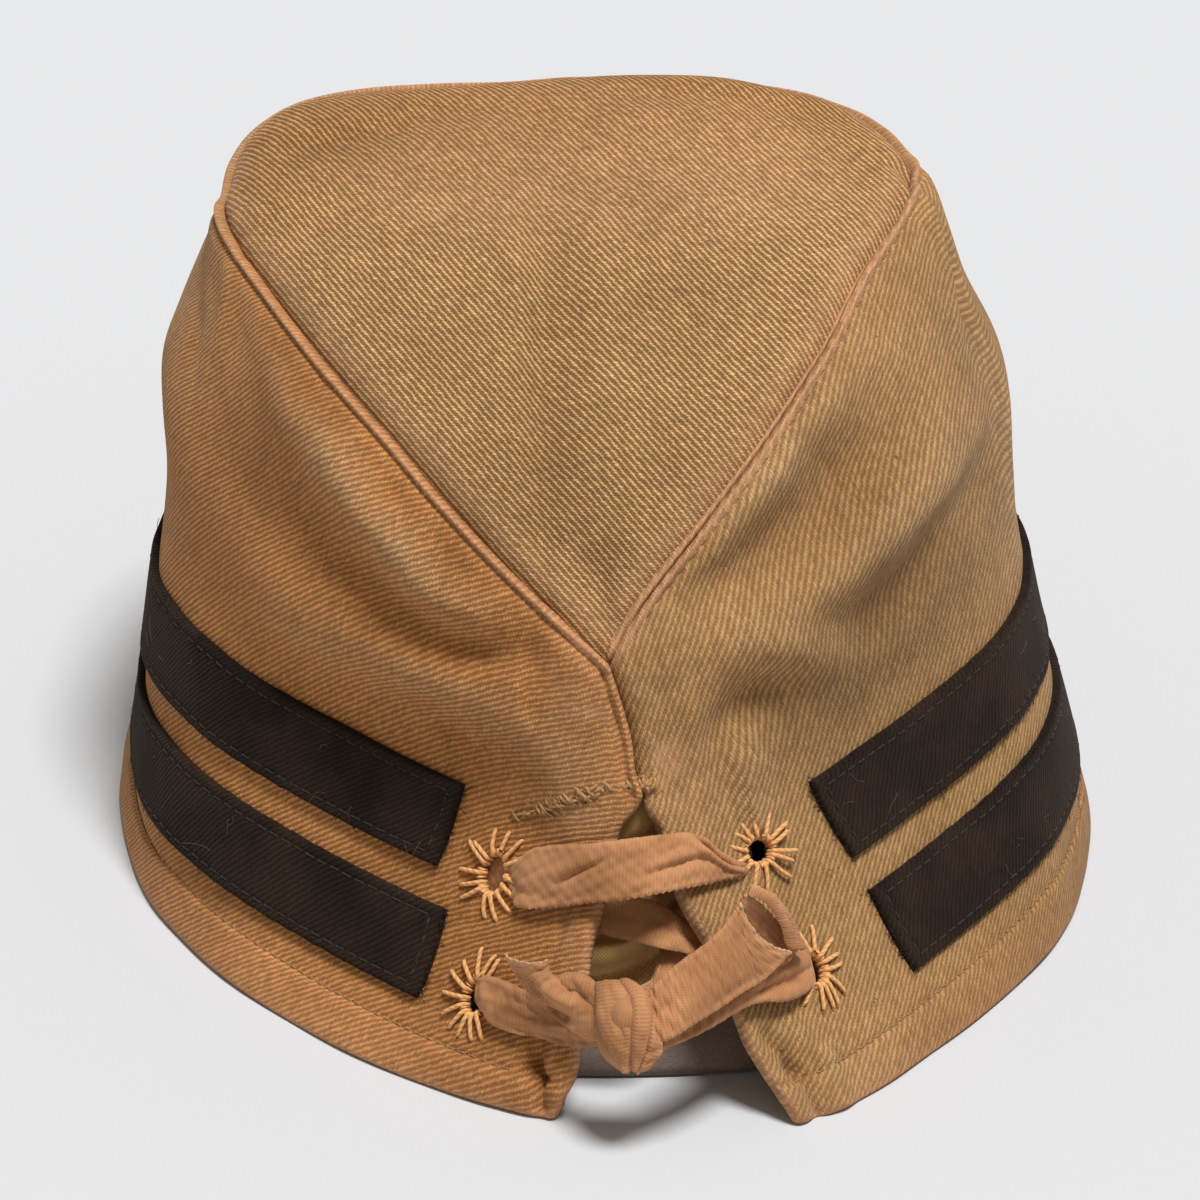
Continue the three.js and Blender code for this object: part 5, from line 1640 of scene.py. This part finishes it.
def frayed_rim(piece, line, radius, count, reach=0.5):
    """The pale cut end of a tape: a soft rim with short fibres."""
    even, share = resampled(line, 0.3)
    even = even + rng.normal(size=even.shape) * 0.05
    tube(piece, even, radius * (1 + 0.15 * np.sin(share * 40)))
    for _ in range(count):
        at = even[int(rng.integers(1, len(even) - 1))]
        way = unit(rng.normal(size=3) + np.array([0, -0.6, 0.5]))
        bend = rng.normal(size=3) * 0.2
        fibre = [at + way * reach * s * rng.uniform(0.5, 1) + bend * s * s for s in (0, 0.33, 0.66, 1)]
        tube(piece, fibre, 0.045, 4)


RUN_ONE_CREASES = [
    [0.30, 0.62, 0.45, 0.30, 0.55, -0.9],
    [0.27, 0.48, 0.42, 0.22, 0.6, 0.45],
    [0.44, 0.12, 0.56, 0.22, 0.9, 0.35],
    [0.56, 0.66, 0.74, 0.45, 0.55, -0.7],
    [0.58, 0.50, 0.74, 0.30, 0.7, 0.5],
    [0.68, 0.15, 0.88, 0.75, 0.6, 0.9],
    [0.70, 0.00, 0.90, 0.55, 0.6, -0.8],
    [0.13, 0.75, 0.30, 0.80, 0.8, -0.4],
]
LOWER_LEFT_CREASES = [
    [0.3, 0.75, 0.95, 0.55, 0.8, 0.7],
    [0.35, 0.9, 0.95, 0.85, 0.7, -0.5],
    [0.2, 0.3, 0.6, 0.4, 0.9, -0.5],
]
LOWER_RIGHT_CREASES = [
    [0.12, 0.55, 0.5, 0.7, 0.55, -1.1],
    [0.15, 0.85, 0.5, 0.95, 0.8, 0.6],
    [0.15, 0.25, 0.5, 0.35, 1.0, 0.5],
]
STUB_CREASES = [
    [0.35, 0.72, 0.62, 0.88, 0.9, -2.2],
    [0.2, 0.35, 0.8, 0.3, 1.0, 0.8],
    [0.45, 0.55, 0.95, 0.6, 0.8, -0.5],
]
TAIL_CREASES = [[0.0, 0.45, 0.25, 0.5, 1.0, -0.5], [0.45, 0.88, 0.85, 0.9, 0.9, -0.5]]
WRAP_ONE_CREASES = [[0.1, 0.62, 0.75, 0.85, 0.45, -0.5], [0.05, 0.3, 0.6, 0.25, 0.9, 0.3]]
LOBE_CREASES = [[0.0, 0.5, 0.9, 0.6, 0.5, -0.4]]
TAIL_LOBE_CREASES = [[0.4, 0.5, 0.9, 0.5, 0.5, -0.4]]
WRAP_THREE_CREASES = [[0.2, 0.5, 0.9, 0.5, 0.4, -0.3]]
INNER_CREASES = [[0.3, 0.4, 0.75, 0.5, 0.8, -0.5]]

# The runs of the tape. Columns: edges, arch, creases, columns, rows, the rest that ribbon takes, and for a
# cut end the radius of its rim, its number of fibres and their reach.
TAPE = [
    [RUN_ONE, 0.35, RUN_ONE_CREASES, 260, 30, {"ribs": 0.14}, None],
    [LOWER_LEFT, 0.4, LOWER_LEFT_CREASES, 110, 24, {}, None],
    [LOWER_RIGHT, 0.4, LOWER_RIGHT_CREASES, 130, 24, {"ribs": 0.08}, None],
    [STUB, 0.7, STUB_CREASES, 80, 24, {"edge_drop": 0.5, "dip": 0.25}, (0.2, 14, 0.4)],
    [LOBE, 0.8, LOBE_CREASES, 60, 16, {"edge_drop": 0.5}, None],
    [TAIL, 0.5, TAIL_CREASES, 150, 30, {"dip": 2.2, "ribs": 0.06}, (0.32, 34, 0.5)],
    [TAIL_BACK, -1.6, (), 50, 24, {"dip": -1.0}, (0.24, 18, 0.5)],
    [TAIL_LOBE, 0.9, TAIL_LOBE_CREASES, 60, 16, {"edge_drop": 0.5}, None],
    [WRAP_ONE, 1.3, WRAP_ONE_CREASES, 70, 26, {"edge_drop": 1.2}, None],
    [WRAP_TWO, 0.9, (), 70, 20, {"edge_drop": 1.6}, None],
    [WRAP_THREE, 0.8, WRAP_THREE_CREASES, 70, 20, {"edge_drop": 1.4}, None],
    [INNER_ONE, 0.5, INNER_CREASES, 120, 16, {}, None],
    [INNER_TWO, 0.5, (), 90, 14, {}, None],
]
KNOT_PLACE = (-9.0, 1.12, 4.4)  # turn, level, lift
KNOT_HALF = (5.0, 3.4, 6.8)


def knot_core(piece, columns=28, rows=16):
    """The rounded inside of the knot, which its wraps go round."""
    a, b = np.meshgrid(np.arange(columns) / columns * 2 * np.pi, np.linspace(-1.5, 1.5, rows), indexing="ij")
    ball = np.stack([np.cos(b) * np.cos(a), np.cos(b) * np.sin(a), np.sin(b)], -1)
    lumps = 1 + 0.07 * np.sin(3 * a + 2 * b) + 0.05 * np.sin(5 * b + a)
    points = lifted(*np.array(KNOT_PLACE)) + ball * lumps[..., None] * KNOT_HALF
    faces = grid_faces(columns, rows, loop=True).tolist()
    faces.append([k * rows for k in range(columns)][::-1])
    faces.append([k * rows + rows - 1 for k in range(columns)])
    piece.add(points, faces, np.stack([a, b], -1) * 5)


lace = Piece()
fray = Piece()
for edges, arch, creases, columns, rows, rest, cut in TAPE:
    run = ribbon(lace, edges, arch, creases, columns, rows, **rest)
    if cut:
        frayed_rim(fray, run[-1], *cut)
knot_core(lace)
lace.make("lace_tape", [lace_tape], ["lace"])
fray.make("cut_ends", [fray_thread])


# Inside the slit

BAND = {"inset": 3.4, "thick": 1.4, "low": 5.0, "high": 31.0, "turn": 34.0}
BAND_BACK = {"low": 0.3, "high": 17.0, "lean": 6.0, "pull": 38.0 * math.sqrt(0.5)}
BAND_COLUMNS, BAND_BACK_COLUMNS, BAND_ROWS = 180, 42, 12


def sweatband():
    """A band that follows the inside of the cloth and crosses behind the slit in one free curve."""
    up = np.linspace(0, 1, BAND_ROWS)
    heights = mixed((BAND["low"], BAND["high"]), up)
    turns = np.linspace(BAND["turn"], 360 - BAND["turn"], BAND_COLUMNS)[:, None]
    levels = level_at(turns, heights)
    t = np.linspace(0, 1, BAND_BACK_COLUMNS)[1:-1, None]
    leaving, coming = t**3 - 2 * t**2 + t, t**3 - t**2
    middle = np.sin(np.pi * t)
    sides = []
    for inset in (BAND["inset"], BAND["inset"] + BAND["thick"]):
        round_part = lifted(turns, levels, -inset)
        back = mixed((round_part[-1], round_part[0]), ease(t)[..., None])
        back[..., 0] += BAND_BACK["pull"] * (leaving + coming)
        back[..., 1] += BAND_BACK["lean"] * up * middle - BAND_BACK["pull"] * (leaving - coming)
        goal = mixed((BAND_BACK["low"], BAND_BACK["high"]), up)
        back[..., 2] = back[..., 2] * (1 - middle) + goal * middle
        sides.append(np.concatenate([round_part, back]))
    outer, inner = sides
    for edge in (0, -1):
        outer[:, edge] += (inner - outer)[:, edge] * 0.4
    coordinates = np.stack(np.meshgrid(np.arange(len(outer)) * 2.6, heights, indexing="ij"), -1)
    piece = Piece()
    thick_sheet(piece, outer, inner, coordinates, loop=True)
    piece.make("sweatband_leather", [band_leather], ["sweatband"])


LINING_X = (-19, 10)
LINING_Y = -88.5
LINING_Z = (9, 48)
LINING_BOW = 8.0
LINING_THICK = 0.9
LINING_FOLDS = 5.2
LINING_POINTS = 70  # along each of its sides


def slit_lining():
    """The loose lining behind the slit, in soft folds that run across and slightly down."""
    shares = np.linspace(0, 1, LINING_POINTS)
    across, up = np.meshgrid(shares, shares, indexing="ij")
    slant = up - 0.3 * (across - 0.5) + 0.05 * np.sin(4 * across)
    fold = 2.6 * np.abs(np.sin(np.pi * LINING_FOLDS * slant)) ** 0.8 - 1.6
    fold = fold + 0.5 * np.sin(9 * across + 5 * slant)
    bow = LINING_BOW * (1 - (2 * across - 1) ** 2) * (1 - 0.3 * up**3)
    x, z = mixed(LINING_X, across), mixed(LINING_Z, up)
    outer = np.stack([x, LINING_Y - bow - fold, z], -1)
    piece = Piece()
    thick_sheet(piece, outer, outer + np.array([0, LINING_THICK, 0]), np.stack([x, z], -1))
    piece.make("slit_lining_cotton", [lining_cotton], ["slit_lining"])


sweatband()
slit_lining()


# Peak

PEAK = {"spread": 62, "reach": 47, "end": 2, "thick": 3.0, "taper": 0.85, "gap": 0.35}
PEAK_TIP = {"height": 5, "pace": 2.6, "arch": 1.2, "forward": 0.62}
PEAK_STITCH_INSETS = (3.2, 7.5)
PEAK_STITCH = [[0.08, -0.12], [0.25, 0.1], [0.75, 0.1], [0.92, -0.12]]  # columns: share of its length, rise
UPWARDS = np.array([0, 0, 1.0])


def peak_surface(across, out):
    """The underside of the peak at shares of its spread and of its reach, and how far it reaches there."""
    turn = 180 - PEAK["spread"] * across
    root = lifted(turn, 0 * turn, PEAK["gap"])
    radial = normal_at(plain_place, turn, 0)
    radial[..., 2] = 0
    way = unit(unit(radial) * (1 - PEAK_TIP["forward"]) + np.array([0, PEAK_TIP["forward"], 0]))
    full = np.maximum(np.cos(np.pi * across / 2), 0) ** PEAK["taper"]
    reach = mixed((PEAK["end"], PEAK["reach"]), full)
    rest = PEAK_TIP["height"] * np.maximum(np.cos(PEAK_TIP["pace"] * across), 0)
    rest = np.minimum(root[..., 2], rest)
    points = root + way * (reach * out)[..., None]
    points[..., 2] = mixed((root[..., 2], rest), out)
    points[..., 2] += PEAK_TIP["arch"] * np.sin(np.pi * out) * reach / PEAK["reach"]
    return points, reach


def peak():
    columns, rows = 150, 46
    across, out = np.meshgrid(np.linspace(-1, 1, columns), np.linspace(0, 1, rows) ** 0.9, indexing="ij")
    low, reach = peak_surface(across, out)
    from_edge = (1 - out) * reach
    round_off = 1.15 * np.clip(1 - from_edge / 1.6, 0, 1) ** 2
    groove = 0.3 * sum(bell(from_edge - inset, 0.5) for inset in PEAK_STITCH_INSETS)
    high = low + UPWARDS * (PEAK["thick"] - round_off - groove)[..., None]
    root_turn = 180 - PEAK["spread"] * across[:, 0]
    high[:, 0] = lifted(root_turn, level_at(root_turn, PEAK["thick"]), PEAK["gap"])
    low = low + UPWARDS * (round_off * 0.8)[..., None]
    wear = 0.7 * bell(from_edge, 1.4)
    piece = Piece()
    thick_sheet(piece, high[::-1], low[::-1], low[::-1, :, :2], wear[::-1], inner_look=1)
    piece.make("peak_cloth", [twill_peak, lining_cotton], ["peak"])
    for inset in PEAK_STITCH_INSETS:
        share = np.linspace(-0.93, 0.93, 220)
        reach = peak_surface(share, 0 * share)[1]
        ok = reach > inset + 1.5
        share, reach = share[ok], reach[ok]
        line = peak_surface(share, 1 - inset / reach)[0] + UPWARDS * (PEAK["thick"] - 0.12)
        even, _ = resampled(line, 2.4)
        for start, end in zip(even[:-1], even[1:]):
            tube(seam_stitches, [start + (end - start) * s + UPWARDS * h for s, h in PEAK_STITCH], 0.18)


peak()
seam_stitches.make("seam_stitches", [seam_thread])
needle_hole_shadows.make("needle_hole_shadows", [needle_shadow])


# Camera, lights and floor

CAMERA_ROLL = 1.77
CAMERA_DISTANCE = 900.0
CAMERA_TARGET = Vector((-2.06, -22.41, 39.7))
CAMERA_LENS = 165.6
CAMERA_SENSOR = 36.0
SUN_PLACE = Vector((135, -190, 900))
SUN_TARGET = Vector((0, -20, 60))
SUN_COLOUR = (1.0, 1.018, 1.05)
SUN_STRENGTH = 3.6
SUN_SPREAD = 16
WORLD_COLOUR = (1.0, 0.955, 0.89, 1)
WORLD_STRENGTH = 0.31
FLOOR_HALF = 24.0  # metres
FLOOR_SUNK = 0.2  # below the cap, in millimetres
FLOOR_TONE = 0.568


def make_camera():
    a, e, roll = (math.radians(v) for v in (SIGHT_TURN, SIGHT_HEIGHT, CAMERA_ROLL))
    back = Vector((math.sin(a) * math.cos(e), -math.cos(a) * math.cos(e), math.sin(e)))
    right = Vector((math.cos(a), math.sin(a), 0))
    up = back.cross(right)
    rolled_right = right * math.cos(roll) + up * math.sin(roll)
    rolled_up = up * math.cos(roll) - right * math.sin(roll)
    data = bpy.data.cameras.new("camera")
    data.lens = CAMERA_LENS
    data.sensor_width = CAMERA_SENSOR
    camera = bpy.data.objects.new("camera", data)
    turn = Matrix((rolled_right, rolled_up, back)).transposed().to_4x4()
    camera.matrix_world = Matrix.Translation((CAMERA_TARGET + back * CAMERA_DISTANCE) * MM) @ turn
    bpy.context.scene.collection.objects.link(camera)
    bpy.context.scene.camera = camera


def make_sun():
    data = bpy.data.lights.new("key", "SUN")
    data.energy = SUN_STRENGTH
    data.color = SUN_COLOUR
    data.angle = math.radians(SUN_SPREAD)
    light = bpy.data.objects.new("key", data)
    light.location = SUN_PLACE * MM
    light.rotation_euler = (SUN_TARGET - SUN_PLACE).to_track_quat("-Z", "Y").to_euler()
    bpy.context.scene.collection.objects.link(light)


def make_floor():
    g = Graph("floor_paper")
    material = g.finish(g.grey(g.scaled(g.noise(g.place(), 400), 0.01, FLOOR_TONE)), 0.9)
    mesh = bpy.data.meshes.new("floor")
    corners = [(x * FLOOR_HALF, y * FLOOR_HALF, 0) for x, y in ((-1, -1), (1, -1), (1, 1), (-1, 1))]
    mesh.from_pydata(corners, [], [(0, 1, 2, 3)])
    mesh.materials.append(material)
    floor = bpy.data.objects.new("floor", mesh)
    floor.location.z = -FLOOR_SUNK * MM
    bpy.context.scene.collection.objects.link(floor)


def make_world():
    world = bpy.data.worlds.new("world")
    world.use_nodes = True
    background = world.node_tree.nodes["Background"]
    background.inputs[0].default_value = WORLD_COLOUR
    background.inputs[1].default_value = WORLD_STRENGTH
    bpy.context.scene.world = world


make_camera()
make_floor()
make_world()
make_sun()
bpy.context.scene.view_settings.view_transform = "Standard"
